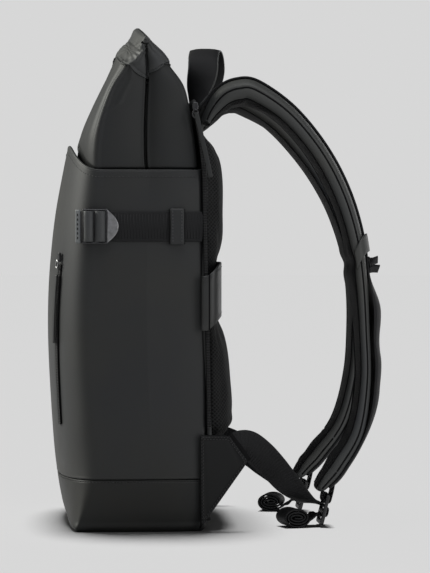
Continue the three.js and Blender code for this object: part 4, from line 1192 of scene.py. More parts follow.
def panel_edge(inset):
    """The panel's outline on its outer face, up the right side and down the left."""
    side_steps, corner_steps, across_steps = PANEL_EDGE["steps"]
    straight_to, bent_from = PANEL_EDGE["corner"]
    straight = (PANEL_EDGE["from"] + inset, straight_to, side_steps)
    heights = stepped([straight, (bent_from, PANEL_EDGE["to"] - inset, corner_steps)])
    half, face = np.moveaxis(at_height(BACK_PANEL, heights), -1, 0)
    right = np.stack([half - inset, face, heights], axis=1)
    across = np.linspace(1, -1, across_steps)[1:-1, None] * X_AXIS + Y_AXIS + Z_AXIS
    top, bottom = right[-1] * across, mirrored(right[0] * across, "left")
    return np.concatenate([right, top, mirrored(right[::-1], "left"), bottom])


def back_panel():
    up, columns = PANEL_GRID
    heights = np.linspace(PANEL_EDGE["from"], PANEL_EDGE["to"], up)[:, None]
    half, face = np.moveaxis(at_height(BACK_PANEL, heights), -1, 0)
    share = np.linspace(1, -1, columns)
    rows = np.stack(np.broadcast_arrays(half * share, face, heights), axis=-1)
    lean = bumps(heights, PANEL_LEAN) * np.abs(share) ** PANEL_LEAN_SHAPE
    rows = rows + (slack("panel", rows) - lean)[..., None] * Y_AXIS
    mesh = grid_mesh("back_panel_cloth", rows, looped=False)
    add_piece(mesh, COATED, ["back_panel"], PANEL_THICK)
    edge = panel_edge(PANEL_BEAD["inset"])
    on_side = np.abs(edge[:, 0]) > PANEL_BEAD["wide"]
    edge[:, 1] -= bumps(edge[:, 2], PANEL_LEAN) * on_side + PANEL_BEAD["in"]
    add_piece(tube("back_panel_piping", edge, PANEL_BEAD["radius"], looped=True), COATED)
    line = panel_edge(PANEL_SEAM)
    stitches("back_panel_stitches", [seam(line, every(Y_AXIS, len(line)), FLAT_STITCH)])


# Padding

def swollen(piece, held, rows):
    """Swells a pad of even rows with cloth simulation. Held points stay sewn, and none moves far."""
    scene = bpy.context.scene
    mesh = piece.data
    before = points_of(mesh)
    sewn = np.concatenate([part.ravel() for part in held])
    group = piece.vertex_groups.new(name="sewn")
    group.add(sewn.tolist(), 1.0, "REPLACE")
    swell = piece.modifiers.new("swell", "CLOTH")
    cloth = swell.settings
    cloth.quality = 6
    cloth.mass = 0.25
    cloth.tension_stiffness = cloth.compression_stiffness = 12
    cloth.shear_stiffness = 6
    cloth.bending_stiffness = 0.6
    cloth.use_pressure = True
    cloth.uniform_pressure_force = SWELL["pressure"]
    cloth.effector_weights.gravity = 0
    cloth.vertex_group_mass = "sewn"
    cloth.shrink_min = -0.04
    swell.point_cache.frame_start, swell.point_cache.frame_end = 1, SWELL["steps"]
    for step in range(1, SWELL["steps"] + 1):
        scene.frame_set(step)
    graph = bpy.context.evaluated_depsgraph_get()
    moved = piece.evaluated_get(graph).to_mesh()
    shift = (points_of(moved) - before).reshape(rows, -1, 3)
    piece.modifiers.remove(swell)
    piece.vertex_groups.remove(group)
    for _ in range(SWELL["even_out"]):
        shift[1:-1] = (shift[:-2] + 2 * shift[1:-1] + shift[2:]) / 4
    shift = shift.reshape(-1, 3)
    shift[np.unique(sewn)] = 0
    length = np.linalg.norm(shift, axis=1, keepdims=True)
    limit = SWELL["most"] * MM
    shift *= limit * np.tanh(length / limit) / np.maximum(length, TINY)
    mesh.vertices.foreach_set("co", (before + shift).ravel())
    mesh.update()
    scene.frame_set(1)


def refined(piece):
    finer = piece.modifiers.new("finer", "SUBSURF")
    finer.levels = finer.render_levels = 1


def back_pad(name, table, node):
    first, last = table[0][0], table[-1][0]
    reach, start, end_rows = PAD_ENDS["reach"], PAD_ENDS["from"], PAD_ENDS["rows"]
    middle = (first + start, last - start, PAD_ENDS["middle_rows"])
    heights = stepped([(first, first + reach, end_rows), middle, (last - reach, last, end_rows)])
    half, depth = np.moveaxis(at_height(table, heights), -1, 0)[..., None]
    face = back_face(heights)[:, None] + PAD_OFF
    turn = np.linspace(0, math.pi, PAD_ACROSS + 1)
    dome_x = half * signed_power(np.cos(turn), PAD_SQUARE)
    dome_y = face + PAD_FULL * depth * np.maximum(np.sin(turn), 0) ** (2 / PAD_SQUARE)
    back_x = half * np.linspace(-1, 1, PAD_BACK)[1:-1]
    x = np.concatenate([dome_x, back_x], axis=1)
    y = np.concatenate([dome_y, face + 0 * back_x], axis=1)
    rows = np.stack([x, y, heights[:, None] + 0 * x], axis=-1)
    piece = add_piece(closed_mesh(name, rows), MESH, [node])
    index = np.arange(x.size).reshape(x.shape)
    under_band = np.abs(heights - BAND[-1][2]) < BAND_HEIGHT / 2 + BAND_MARGIN
    held = [index[:, PAD_ACROSS:], index[:, 0], index[:2], index[-2:], index[under_band]]
    swollen(piece, held, len(heights))
    refined(piece)


def back_pads():
    back_pad("upper_pad", UPPER_PAD, "upper_back_pad")
    back_pad("lower_pad", LOWER_PAD, "lower_back_pad")


def luggage_band():
    rows = BAND + [(-x, y, z) for x, y, z in BAND[-2::-1]]
    at, = resampled(along(rows, np.linspace(0, 1, STEPS["band"])), BAND_PITCH)
    ahead = np.gradient(at, axis=0)
    out = unit(np.cross(Z_AXIS, ahead))
    out = out * np.sign(out[len(at) // 2, 1])
    section = ribbon_section(BAND_HEIGHT, CLOTH)
    rows = at[:, None] + Z_AXIS * section[None, :, :1] + out[:, None] * section[None, :, 1:]
    add_piece(closed_mesh("luggage_band_cloth", rows), BAND_CLOTH, ["luggage_band"])
    face = at + out * CLOTH / 2
    spots = [seam(face + Z_AXIS * rise, out, BAND_STITCH) for rise in (-BAND_SEAM, BAND_SEAM)]
    stitches("luggage_band_stitches", spots)
    rises = np.linspace(-0.5, 0.5, STEPS["band_fold"])[:, None] * BAND_HEIGHT
    for side, place in BAND_FOLDS.items():
        line = tube(f"band_fold_{side}", face[place] + Z_AXIS * rises, BAND_LINE)
        add_piece(line, ZIP_TAPE)


def grab_handle():
    rows = along(HANDLE, np.linspace(0, 1, STEPS["handle"]))
    at, turn = resampled(rows[:, :3], HANDLE_PITCH, rows[:, 3:])
    section = ribbon_section(WEB_WIDTH, WEB_THICK)
    rows = swept(at, level_direction(np.radians(turn[:, 0])), section)
    near_top = grown(at[:, 2:], HANDLE_CROWN["from"], HANDLE_CROWN["over"])
    outer = np.abs(2 * section[:, 0] / WEB_WIDTH) ** HANDLE_CROWN["shape"]
    rows[..., 2] -= HANDLE_CROWN["fall"] * near_top * outer
    add_piece(closed_mesh("handle_webbing", rows), WEBBING, ["grab_handle"])
    # Beads along both edges in the lighter strap cloth: bound edges with a painted highlight.
    for name, edge in (("front", section[:, 0].argmin()), ("back", section[:, 0].argmax())):
        add_piece(tube(f"handle_edge_{name}", rows[:, edge], HANDLE_EDGE), LIT_STRAP_CLOTH)


# Shoulder straps

def strap_places(shares, side):
    """Middles of a strap, the directions across it and out of its face, half its width and its thickness."""
    shares = np.asarray(shares, float)

    def at(values):
        hang = along(HANG[side], values)
        return along(STRAP, values)[:, :3] + np.column_stack([hang, np.zeros(len(hang))])

    half_wide, half_thick = along(STRAP, shares)[:, 3:].T / 2
    ahead = unit(at(shares + STRAP_TABLE_STEP) - at(shares - STRAP_TABLE_STEP))
    across = unit(X_AXIS - ahead * ahead[:, :1])
    return at(shares), across, np.cross(across, ahead), half_wide, half_thick


def crowned(across_share):
    """Height of a strap's rounded face at a share of its half width."""
    return np.maximum(1 - np.abs(across_share) ** STRAP_SQUARE, 0) ** (1 / STRAP_SQUARE)


def strap_pad(side):
    shares = np.linspace(0, 1, STRAP_ROWS)
    at, across, out, half_wide, half_thick = strap_places(shares, side)
    near_tip = grown(shares, STRAP_TIP["from"], STRAP_TIP["over"])
    tip = np.sqrt(1 - np.minimum(near_tip, STRAP_TIP["most"]) ** 2)
    half_around, quarter = STRAP_AROUND // 2, STRAP_AROUND // 4
    column = np.arange(STRAP_AROUND)
    turn = 2 * math.pi * column / STRAP_AROUND
    u = signed_power(np.cos(turn), STRAP_SQUARE)
    v = signed_power(np.sin(turn), STRAP_SQUARE)
    from_edge = (column + quarter) % half_around - quarter
    far_edge = (column > quarter) & (column <= half_around + quarter)
    from_edge = np.where(far_edge, -from_edge, from_edge)
    depth, reach = STRAP_GROOVE
    grooved = depth * (hump(from_edge - COVER_COLUMN, reach) + hump(from_edge - SEAM_COLUMN, reach))
    past_cuff = shares - CUFF_ALONG - STRAP_PINCH["after_cuff"]
    past_cuff = np.clip(past_cuff, -STRAP_PINCH["near"], STRAP_PINCH["near"])
    pinch = 1 - STRAP_PINCH["depth"] * hump(past_cuff, STRAP_PINCH["reach"])
    inner = STRAP_FULL["inner"] * pinch * tip * half_thick
    outer = STRAP_FULL["outer"] * tip * half_thick
    thick = np.where(v < 0, inner[:, None], outer[:, None]) * v
    taper = half_wide * (STRAP_TIP["narrow"] + (1 - STRAP_TIP["narrow"]) * tip)
    wide = STRAP_FULL["wide"] * taper[:, None] * (u * (1 - grooved))
    rows = at[:, None] + across[:, None] * wide[..., None] + out[:, None] * thick[..., None]
    rows = mirrored(rows, side)
    mesh = closed_mesh(f"strap_pad_{side}", rows)
    mesh.materials.append(MESH)
    # The outer half takes the lighter copy of the coated cloth, which is painted light.
    mesh.materials.append(LIT_STRAP_CLOTH)
    last, first = half_around - SEAM_COLUMN, STRAP_AROUND + SEAM_COLUMN
    coated = np.tile((column < last) | (column >= first), STRAP_ROWS - 1)
    faces = np.concatenate([coated, [False, False]])
    mesh.polygons.foreach_set("material_index", faces.astype(np.int32))
    piece = add_piece(mesh, MESH, [f"shoulder_strap_{side}"])
    index = np.arange(STRAP_ROWS * STRAP_AROUND).reshape(STRAP_ROWS, STRAP_AROUND)
    pinched_row = np.abs(past_cuff).argmin()
    outside = (column <= last) | (column >= first)
    swollen(piece, [index[:, outside], index[:2], index[-2:], index[pinched_row]], STRAP_ROWS)
    refined(piece)
    lines = {"cover": COVER_COLUMN, "mesh": SEAM_COLUMN}
    for line, start in lines.items():
        for edge, place in zip(SIDES, (start, half_around - start)):
            path = rows[STRAP_BEAD["first"] : STRAP_BEAD["last"], place]
            bead = tube(f"strap_{line}_line_{edge}_{side}", path, STRAP_BEAD["radius"])
            add_piece(bead, ZIP_TAPE)


def strip_bow(shares):
    total = np.zeros(len(shares))
    for middle, reach, height in STRIP_BOWS:
        total += height * np.cos(math.pi / 2 * np.minimum(np.abs(shares - middle) / reach, 1)) ** 2
    return total


def strap_strip(side):
    """A strip over the strap's outer face; where it buckles, its middle lifts more than its edges."""
    count, columns = STRIP_GRID
    shares = np.linspace(STRIP_FROM, STRIP_TO, count)
    at, across, out, half_wide, half_thick = strap_places(shares, side)
    half = np.interp(shares, CUFF_ALONG + np.array(STRIP_WIDENS), STRIP_HALF)
    half = np.minimum(half, STRIP_MOST * half_wide)
    u = np.linspace(-1, 1, columns)
    face = half_thick[:, None] * crowned(u * (half / half_wide)[:, None])
    off = face + STRIP_LIFT + strip_bow(shares)[:, None] * (1 - STRIP_CURL * u ** 2)
    under = at[:, None] + across[:, None] * (half[:, None] * u)[..., None] + out[:, None] * off[..., None]
    over = under + out[:, None] * WEB_THICK
    mesh = closed_mesh(f"strip_{side}", mirrored(np.concatenate([over, under[:, ::-1]], axis=1), side))
    mesh.set_sharp_from_angle(angle=SHARP["cloth"])
    add_piece(mesh, WEBBING, [f"strap_strip_{side}"])


def strap_cuff(side):
    """A slanted band over the strap's outer half, from seam to seam."""
    count, columns = CUFF_GRID
    turn = math.pi * np.linspace(*CUFF_TURN, columns)
    u, v = signed_power(np.cos(turn), STRAP_SQUARE), signed_power(np.sin(turn), STRAP_SQUARE)
    clear = CUFF_CLEAR["edge"] + CUFF_CLEAR["crown"] * np.clip(v, 0, 1) ** 3
    rows = []
    for share in CUFF_ALONG + CUFF_SPAN * np.linspace(-0.5, 0.5, count):
        at, across, out, half_wide, half_thick = strap_places(share - CUFF_SLANT * v, side)
        wide, off = u * (half_wide + CUFF_CLEAR["side"]), v * (half_thick + clear)
        rows.append(at + across * wide[:, None] + out * off[:, None])
    rows = mirrored(np.array(rows), side)
    mesh = grid_mesh(f"cuff_{side}", rows if side == "left" else rows[::-1], looped=False)
    # The cuff's lighter copy of the coated cloth is painted light.
    add_piece(mesh, LIT_STRAP_CLOTH, [f"strap_cuff_{side}"], CUFF_THICK)


def chest_tab(side):
    at, across, out, _, half_thick = (column[0] for column in strap_places([TAB_ALONG], side))
    upwards = np.cross(across, out)
    tilted = across * math.cos(TAB_TILT) + upwards * math.sin(TAB_TILT)
    start = at + out * (half_thick + STRIP_LIFT + WEB_THICK + TAB_OFF)
    half = (TAB_OPENING + WEB_THICK) / 2
    path = [(reach, share * half + more) for reach, share, more in TAB_PATH]
    rows = along(path, np.linspace(0, 1, STEPS["tab"]))
    points = start + rows[:, :1] * out + rows[:, 1:] * upwards
    web_piece("tab", "chest_tab", points, every(tilted, len(points)), side, width=TAB_WIDTH)


# Lower webbing, wings and buckles

def wing(side):
    corners = np.array(WING_CORNERS[side], float)
    count, columns = WING_GRID
    s, t = np.linspace(0, 1, columns), np.linspace(0, 1, count)[:, None]
    top = corners[0] + (corners[1] - corners[0]) * s[:, None]
    bottom = corners[3] + (corners[2] - corners[3]) * s[:, None]
    normal = facing(unit(np.cross(corners[1] - corners[0], corners[3] - corners[0])), X_AXIS)
    edge = np.minimum(np.minimum(t, 1 - t) * WING_REACH[0], np.minimum(s, 1 - s) * WING_REACH[1])
    rows = top + (bottom - top) * t[..., None] + normal * bumps(edge, WING_HEM)[..., None]
    rows = mirrored(rows, side)
    mesh = grid_mesh(f"wing_cloth_{side}", rows[::-1] if side == "right" else rows, looped=False)
    # The wing's darker copy of the coated cloth paints its shade.
    add_piece(mesh, SHADED_DULL_COATED, [f"wing_{side}"], WING_THICK)
    middle = corners.mean(axis=0)
    spots = []
    for share in WING_SEAMS:
        loop = closed_loop(middle + (corners - middle) * share) + normal * WING_STITCH
        spots.append(mirrored_spots(seam(loop, every(normal, len(loop))), side))
    stitches(f"wing_stitches_{side}", spots)
    # Painted shadow: a near-black strip just outside and behind the slanted edge, where the webbing passes
    # behind the wing.
    down = corners[2] - corners[1]
    beside = facing(unit(np.cross(down, normal)), corners[1] - corners[0])
    path = corners[1] + down * np.linspace(WING_SHADOW_STRIP["from"], 1, WING_SHADOW_STRIP["rows"])[:, None]
    path = path + beside * WING_SHADOW_STRIP["beside"] - normal * WING_SHADOW_STRIP["behind"]
    size = WING_SHADOW_STRIP["width"], WING_SHADOW_STRIP["thick"]
    shadow_strip = ribbon(f"wing_binding_{side}", path, every(beside, len(path)), *size, side)
    add_piece(shadow_strip, ZIP_TAPE)


BUCKLE_AHEAD = np.array([0, math.sin(BUCKLE_LEAN), math.cos(BUCKLE_LEAN)])
BUCKLE_FACE = np.cross(X_AXIS, BUCKLE_AHEAD)


def hang_tip(side):
    return np.array([*along(HANG[side], [1.0])[0], 0])


def buckle_middle(side):
    return np.array(BUCKLE_CENTRE) + hang_tip(side)


def buckle_points(rows, side):
    rows = np.array(rows, float)
    return buckle_middle(side) + rows[:, :1] * BUCKLE_AHEAD + rows[:, 1:] * BUCKLE_FACE


def smooth_path(points, pitch, across):
    count = BEND_STEPS["buckle"] * (len(points) - 1)
    rows = along(np.column_stack([points, across]), np.linspace(0, 1, count + 1))
    return resampled(rows[:, :3], pitch, rows[:, 3:])


def lower_webbing(side):
    table = np.array(LOWER_WEBBING[side], float)
    threading = buckle_points(THREADING, side)
    points = np.concatenate([table[:, :3], threading])
    across = np.concatenate([table[:, 3:], every(X_AXIS, len(threading))])
    at, across = smooth_path(points, WEB_PITCH, across)
    web_piece("webbing", "lower_webbing", at, across, side)
    ribs(f"webbing_ribs_{side}", at, across, side)


def ribs(name, at, across, side, faces=(1, -1)):
    """Ribs across webbing, on one or both of its faces."""
    across, out, _ = framed(at, across)
    at, across, out = resampled(at, RIB["pitch"], across, out)
    spots = []
    for face in faces:
        places = at + out * face * WEB_THICK * RIB["off"]
        spots.append(mirrored_spots((places, unit(across), unit(out) * face), side))
    size = (RIB["long"], WEB_WIDTH - RIB["short_of_edge"], RIB["high"])
    row_of(name, RIB_PATTERN, spots, size, WEBBING, RIB["uneven"])


def webbing_roll(side):
    across = level_direction(math.radians(ROLL["yaw"]))
    ahead = np.cross(Z_AXIS, across)
    share = np.linspace(0, 1, STEPS["roll"])
    angle = math.radians(ROLL["end"]) - 2 * math.pi * ROLL["turns"] * (1 - share)
    radius = ROLL["inner"] + (ROLL["outer"] - ROLL["inner"]) * share
    at = np.array(ROLL["at"]) + hang_tip(side) + (radius * np.cos(angle))[:, None] * ahead
    at[:, 2] += (radius - ROLL["flat"]) * np.sin(angle)
    directions = every(across, len(at))
    tail = np.array(ROLL_TAIL, float)
    tail_at = [at[-1:], tail[:, :3] + hang_tip(side), buckle_points([TAIL_START], side)]
    tail_across = [directions[-1:], level_direction(np.radians(tail[:, 3])), [X_AXIS]]
    tail_at, tail_across = smooth_path(np.concatenate(tail_at), WEB_PITCH, np.concatenate(tail_across))
    at, directions = np.concatenate([at, tail_at[1:]]), np.concatenate([directions, tail_across[1:]])
    at, directions = resampled(at, WEB_PITCH, directions)
    web_piece("roll", "webbing_roll", at, directions, side)
    ribs(f"roll_ribs_{side}", at[-ROLL_RIBBED:], directions[-ROLL_RIBBED:], side, faces=(1,))


def plate_mesh(name, loops, thick, edge, place):
    """A flat plate with rounded edges from closed outlines, of which the first is the outside."""
    curve = bpy.data.curves.new(name, "CURVE")
    curve.dimensions = "2D"
    curve.fill_mode = "BOTH"
    curve.extrude = thick * MM / 2 - edge * MM
    curve.bevel_depth = edge * MM
    curve.bevel_resolution = 2
    curve.offset = -edge * MM
    for loop in loops:
        spline = curve.splines.new("POLY")
        spline.points.add(len(loop) - 1)
        flat = np.column_stack([np.array(loop) * MM, np.zeros(len(loop)), np.ones(len(loop))])
        spline.points.foreach_set("co", flat.ravel())
        spline.use_cyclic_u = True
    made = bpy.data.objects.new(name, curve)
    bpy.context.scene.collection.objects.link(made)
    graph = bpy.context.evaluated_depsgraph_get()
    mesh = bpy.data.meshes.new_from_object(made.evaluated_get(graph))
    bpy.data.objects.remove(made)
    bpy.data.curves.remove(curve)
    mesh.name = name
    mesh.transform(place)
    mesh.update()
    mesh.shade_smooth()
    mesh.set_sharp_from_angle(angle=SHARP["plate"])
    return face_out(mesh)


def rounded(corners, radii):
    """A polygon with rounded corners; all may share one radius."""
    corners = np.array(corners, float)
    points = []
    for k, (corner, radius) in enumerate(zip(corners, np.broadcast_to(radii, len(corners)))):
        back = unit(corners[k - 1] - corner)
        on = unit(corners[(k + 1) % len(corners)] - corner)
        start, end = corner + back * radius, corner + on * radius
        for t in np.linspace(0, 1, BEND_STEPS["corner"] + 1):
            points.append((1 - t) ** 2 * start + 2 * t * (1 - t) * corner + t * t * end)
    return np.array(points)


def box_corners(half, low, high):
    return [(-half, low), (half, low), (half, high), (-half, high)]


def basis(x, y, z, origin, side):
    """A placing matrix from three directions and an origin in millimetres."""
    columns = [Vector(mirrored(np.array(part, float), side)) for part in (x, y, z)]
    place = Matrix((columns[0], columns[1], columns[2])).transposed().to_4x4()
    place.translation = Vector(mirrored(np.array(origin, float), side)) * MM
    return place


def strap_buckle(side):
    right = np.array(LADDER_OUTLINE, float)
    waist = np.roll(np.concatenate([right, mirrored(right[::-1], "left")]), 1, axis=0)
    loops = [rounded(waist[:, :2], waist[:, 2])]
    half = LADDER["slot_width"] / 2
    loops += [rounded(box_corners(half, low, high), LADDER["slot_corner"]) for low, high in LADDER_SLOTS]
    place = basis(X_AXIS, BUCKLE_AHEAD, BUCKLE_FACE, buckle_middle(side), side)
    mesh = plate_mesh(f"buckle_{side}", loops, LADDER["thick"], LADDER["edge"], place)
    add_piece(mesh, PLASTIC, [f"strap_buckle_{side}"])


def strap_end_tab(side):
    points = buckle_points(END_TAB, side)
    at, across = smooth_path(points, END_TAB_PITCH, every(X_AXIS, len(points)))
    web_piece("end_tab", "strap_end_tab", at, across, side, END_TAB_WIDTH, END_TAB_THICK)


# Side compression straps

def side_surface(y):
    half, front, back, round_, square, _ = at_height(BODY, SIDE_STRAP_HEIGHT)
    y = np.asarray(y, float)
    first, last = back - BACK_CORNER, front + round_
    place = np.clip((first - y) / (first - last), 0, 1)
    bend = np.maximum(last - y, 0) / round_
    return half * (1 - side_turn(place)) * (1 - bend ** square) ** (1 / square)


def side_path(rows):
    count = BEND_STEPS["side"] * (len(rows) - 1)
    y, off = along(rows, np.linspace(0, 1, count + 1)).T
    at, = resampled(np.stack([side_surface(y) + off, y, SIDE_STRAP_HEIGHT + 0 * y], axis=1), WEB_PITCH)
    return at, every(Z_AXIS, len(at))


def side_straps(side):
    pieces = [
        ("side_webbing", "side_ribs", "side_strap", SIDE_STRAP),
        ("anchor", "anchor_ribs", "side_anchor", SIDE_ANCHOR),
    ]
    for name, rib_name, node, path in pieces:
        at, across = side_path(path)
        web_piece(name, node, at, across, side)
        ribs(f"{rib_name}_{side}", at, across, side)


def side_buckle_middle():
    return at_height(BODY, SIDE_STRAP_HEIGHT)[0] + SIDE_BUCKLE["lift"] + SIDE_BUCKLE["thick"] / 2


def side_buckle(side):
    """A dark frame with two slots, and the paler rounded tab behind it."""
    back = SIDE_BUCKLE["back"]
    shoulder = back - D_TAB["length"] + SIDE_FRAME["under_tab"]
    outside = box_corners(SIDE_BUCKLE["width"] / 2, SIDE_BUCKLE["front"], shoulder)
    outlines = [rounded(outside, SIDE_FRAME["corner"])]
    half = SIDE_BUCKLE["slot_width"] / 2
    outlines += [rounded(box_corners(half, low, high), SIDE_FRAME["slot_corner"]) for low, high in SIDE_SLOTS]
    place = basis(Z_AXIS, Y_AXIS, -X_AXIS, (side_buckle_middle(), 0, SIDE_STRAP_HEIGHT), side)
    mesh = plate_mesh(f"side_ladder_{side}", outlines, SIDE_BUCKLE["thick"], SIDE_FRAME["edge"], place)
    add_piece(mesh, DARK_METAL, [f"side_buckle_{side}"])
    share = np.linspace(-1, 1, STEPS["side_tab"])
    tab = np.stack([D_TAB["half"] * share, back - D_TAB["length"] * share ** 2], axis=1)
    mesh = plate_mesh(f"side_tab_{side}", [tab], D_TAB["thick"], D_TAB["edge"], place)
    add_piece(mesh, GUNMETAL)


def side_loops(side):
    """Webbing drawn round the two bars of the buckle."""
    turn = math.pi * np.linspace(*LOOP["turn"], LOOP["steps"])
    x = side_buckle_middle() + LOOP["rise"] * np.sin(turn)
    width = SIDE_BUCKLE["slot_width"] - LOOP["narrower"]
    for name, (low, high) in SIDE_LOOPS.items():
        y = (low + high) / 2 - (high - low) / 2 * np.cos(turn)
        at = np.stack([x, y, SIDE_STRAP_HEIGHT + 0 * y], axis=1)
        loop = ribbon(f"side_loop_{name}_{side}", at, every(Z_AXIS, len(at)), width, LOOP["thick"], side)
        # Painted highlights: the loops take the lighter copy of the coated cloth instead of webbing.
        add_piece(loop, LIT_STRAP_CLOTH)


def anchor_bar(side):
    """The stitched end of the short webbing that holds the buckle."""
    rows, reach = ANCHOR_BAR["rows"], ANCHOR_BAR["length"] / 2
    at = every((*ANCHOR_BAR["at"], SIDE_STRAP_HEIGHT), rows)
    at[:, 2] += np.linspace(-reach, reach, rows)
    across = level_direction(math.radians(ANCHOR_BAR["turn"]))
    out = every(np.cross(across, Z_AXIS), rows)
    bar = ribbon(f"anchor_bar_{side}", at, every(across, rows), ANCHOR_BAR["width"], CLOTH, side)
    # The bar's far lighter copy of the coated cloth is a painted highlight.
    add_piece(bar, LIT_ANCHOR_CLOTH)
    spots = [mirrored_spots(seam(at[2:-2], out[2:-2], CLOTH / 2, ANCHOR_PITCH), side)]
    row_of(f"anchor_stitches_{side}", STITCH_PATTERN, spots, ANCHOR_STITCH, ZIP_TAPE)


def side_keeper(side):
    z, off = along(KEEPER, np.linspace(0, 1, KEEPER_ROWS)).T
    at = np.stack([side_surface(KEEPER_Y) + off, KEEPER_Y + 0 * z, SIDE_STRAP_HEIGHT + z], axis=1)
    across = every(Y_AXIS, KEEPER_ROWS)
    widths = 1 - KEEPER_WAIST[0] * hump(z, KEEPER_WAIST[1])
    keeper = ribbon(f"keeper_{side}", at, across, KEEPER_WIDTH, CLOTH, side, widths)
    add_piece(keeper, COATED, [f"side_keeper_{side}"])
    wide, out, _ = framed(at, across)
    out = out * np.sign(out[KEEPER_ROWS // 2, 0])
    lines = [at + out * CLOTH / 2 + wide * shift for shift in (-KEEPER_SEAM, KEEPER_SEAM)]
    spots = [mirrored_spots(seam(line, out, BAND_STITCH), side) for line in lines]
    stitches(f"keeper_stitches_{side}", spots, PALE_THREAD)
    # Near-black beads along both edges; the one at the front paints the shadow line beside the keeper.
    for name, edge in (("front", -KEEPER_WIDTH / 2), ("back", KEEPER_WIDTH / 2)):
        line = mirrored(at + wide * (edge * widths)[:, None], side)[KEEPER_EDGE_FROM:-KEEPER_EDGE_FROM]
        add_piece(tube(f"keeper_edge_{name}_{side}", line, KEEPER_EDGE), ZIP_TAPE)


# Zips

def front_face(x, z):
    """Places on the body's front, with the directions along the face and out of it."""
    half, front, _, round_, square, _ = np.moveaxis(at_height(BODY, z), -1, 0)
    half = half * (1 - SIDE_TURN[1])
    share = x / half
    y = front + round_ - round_ * (1 - share ** square) ** (1 / square)
    slope = (round_ / half) * share ** (square - 1) * (1 - share ** square) ** (1 / square - 1)
    wide = unit(np.stack([np.ones_like(slope), slope, np.zeros_like(slope)], axis=-1))
    out = np.stack([wide[..., 1], -wide[..., 0], np.zeros_like(slope)], axis=-1)
    return np.stack([x + 0 * y, y, z + 0 * y], axis=-1), wide, out


def zip_line(z):
    """Where the front zip runs at given heights."""
    share = (FRONT_ZIP["top"] - z) / (FRONT_ZIP["top"] - FRONT_ZIP["bottom"])
    return front_face(FRONT_ZIP_X[0] + (FRONT_ZIP_X[1] - FRONT_ZIP_X[0]) * share, z)


def zip_teeth(name, at, wide, out):
    spots = []
    for shift in (-TEETH["apart"], TEETH["apart"]):
        path, side, face = resampled(at + wide * shift, TEETH["pitch"], wide, out)
        spots.append((path, unit(side), unit(face)))
    row_of(name, TOOTH_PATTERN, spots, TEETH["size"], PLASTIC, TEETH["uneven"])


def front_zip():
    at, wide, out = zip_line(np.linspace(FRONT_ZIP["bottom"], FRONT_ZIP["top"], STEPS["front_zip"]))
    opening = np.linspace(ZIP_NARROW, 1, len(at))
    tape_at = at + out * ZIP_OFF["tape"]
    tape = ribbon("front_zip_tape", tape_at, wide, FRONT_ZIP["width"], ZIP_THICK, widths=opening)
    add_piece(tape, ZIP_TAPE, ["front_zip"])
    zip_teeth("front_zip_teeth", at + out * ZIP_OFF["front_teeth"], wide, out)
    beside = FRONT_ZIP["width"] / 2 * opening + ZIP_LIP["beside"]
    lip_at = at - wide * beside[:, None] + out * ZIP_LIP["off"]
    lip = ribbon("front_zip_lip", lip_at, wide, ZIP_LIP["width"], ZIP_LIP["thick"])
    add_piece(lip, COATED)
    top = at[-1] + out[-1] * ZIP_OFF["slider"]
    slider("front_zip_puller", "front_zip_slider", top, (wide[-1], Z_AXIS, out[-1]), STEEL)
    share = np.linspace(0, 1, STEPS["front_pull"])
    at, wide, out = zip_line(FRONT_PULL["bottom"] + (FRONT_PULL["top"] - FRONT_PULL["bottom"]) * share)
    swung = FRONT_PULL["swing"] * (1 - share)
    path = at + out * (FRONT_PULL["off"] + FRONT_PULL["thick"] / 2) + wide * swung[:, None]
    strip = ribbon("front_pull_strip", path, wide, FRONT_PULL["width"], FRONT_PULL["thick"])
    add_piece(strip, COATED, ["front_zip_pull"])


def slider(name, node, origin, directions, ring_metal):
    """A zip slider: a waisted body, and the ring that its soft pull hangs from."""
    body = rounded(SLIDER_BODY, SLIDER["corner"])
    place = basis(*directions, origin, "right")
    mesh = plate_mesh(name, [body], SLIDER["thick"], SLIDER["edge"], place)
    add_piece(mesh, DARK_METAL, [node])
    wide, ahead, out = directions
    turn = np.linspace(0, 2 * math.pi, STEPS["ring"], endpoint=False)[:, None]
    ring = origin + wide * SLIDER_RING["half_wide"] * np.cos(turn) + out * SLIDER_RING["off"]
    ring = ring + ahead * (SLIDER_RING["ahead"] + SLIDER_RING["half_long"] * np.sin(turn))
    bead = tube(f"{name}_ring", ring, SLIDER_RING["radius"], looped=True, sides=SLIDER_RING["sides"])
    add_piece(bead, ring_metal)


def back_zip():
    z = np.linspace(BACK_ZIP["bottom"], BACK_ZIP["top"], STEPS["back_zip"])
    half, face = np.moveaxis(at_height(BACK_PANEL, z), -1, 0)
    at = np.stack([half + ZIP_OFF["back_tape"] + ZIP_THICK / 2, face - PANEL_THICK / 2, z], axis=1)
    wide, out = every(Y_AXIS, len(at)), every(X_AXIS, len(at))
    add_piece(ribbon("back_zip_tape", at, wide, BACK_ZIP["width"], ZIP_THICK), ZIP_TAPE, ["back_zip"])
    zip_teeth("back_zip_teeth", at + out * ZIP_OFF["back_teeth"], wide, out)
    origin = at[-1] - Z_AXIS * BACK_SLIDER_DROP + X_AXIS * ZIP_OFF["slider"]
    slider("back_zip_puller", "back_zip_slider", origin, (Y_AXIS, Z_AXIS, X_AXIS), DARK_METAL)
    rows = along(BACK_PULL, np.linspace(0, 1, STEPS["back_pull"]))
    strip = ribbon("back_pull_strip", rows, every(Y_AXIS, len(rows)), BACK_PULL_WIDTH, FRONT_PULL["thick"])
    add_piece(strip, COATED, ["back_zip_pull"])


# Studio, in metres

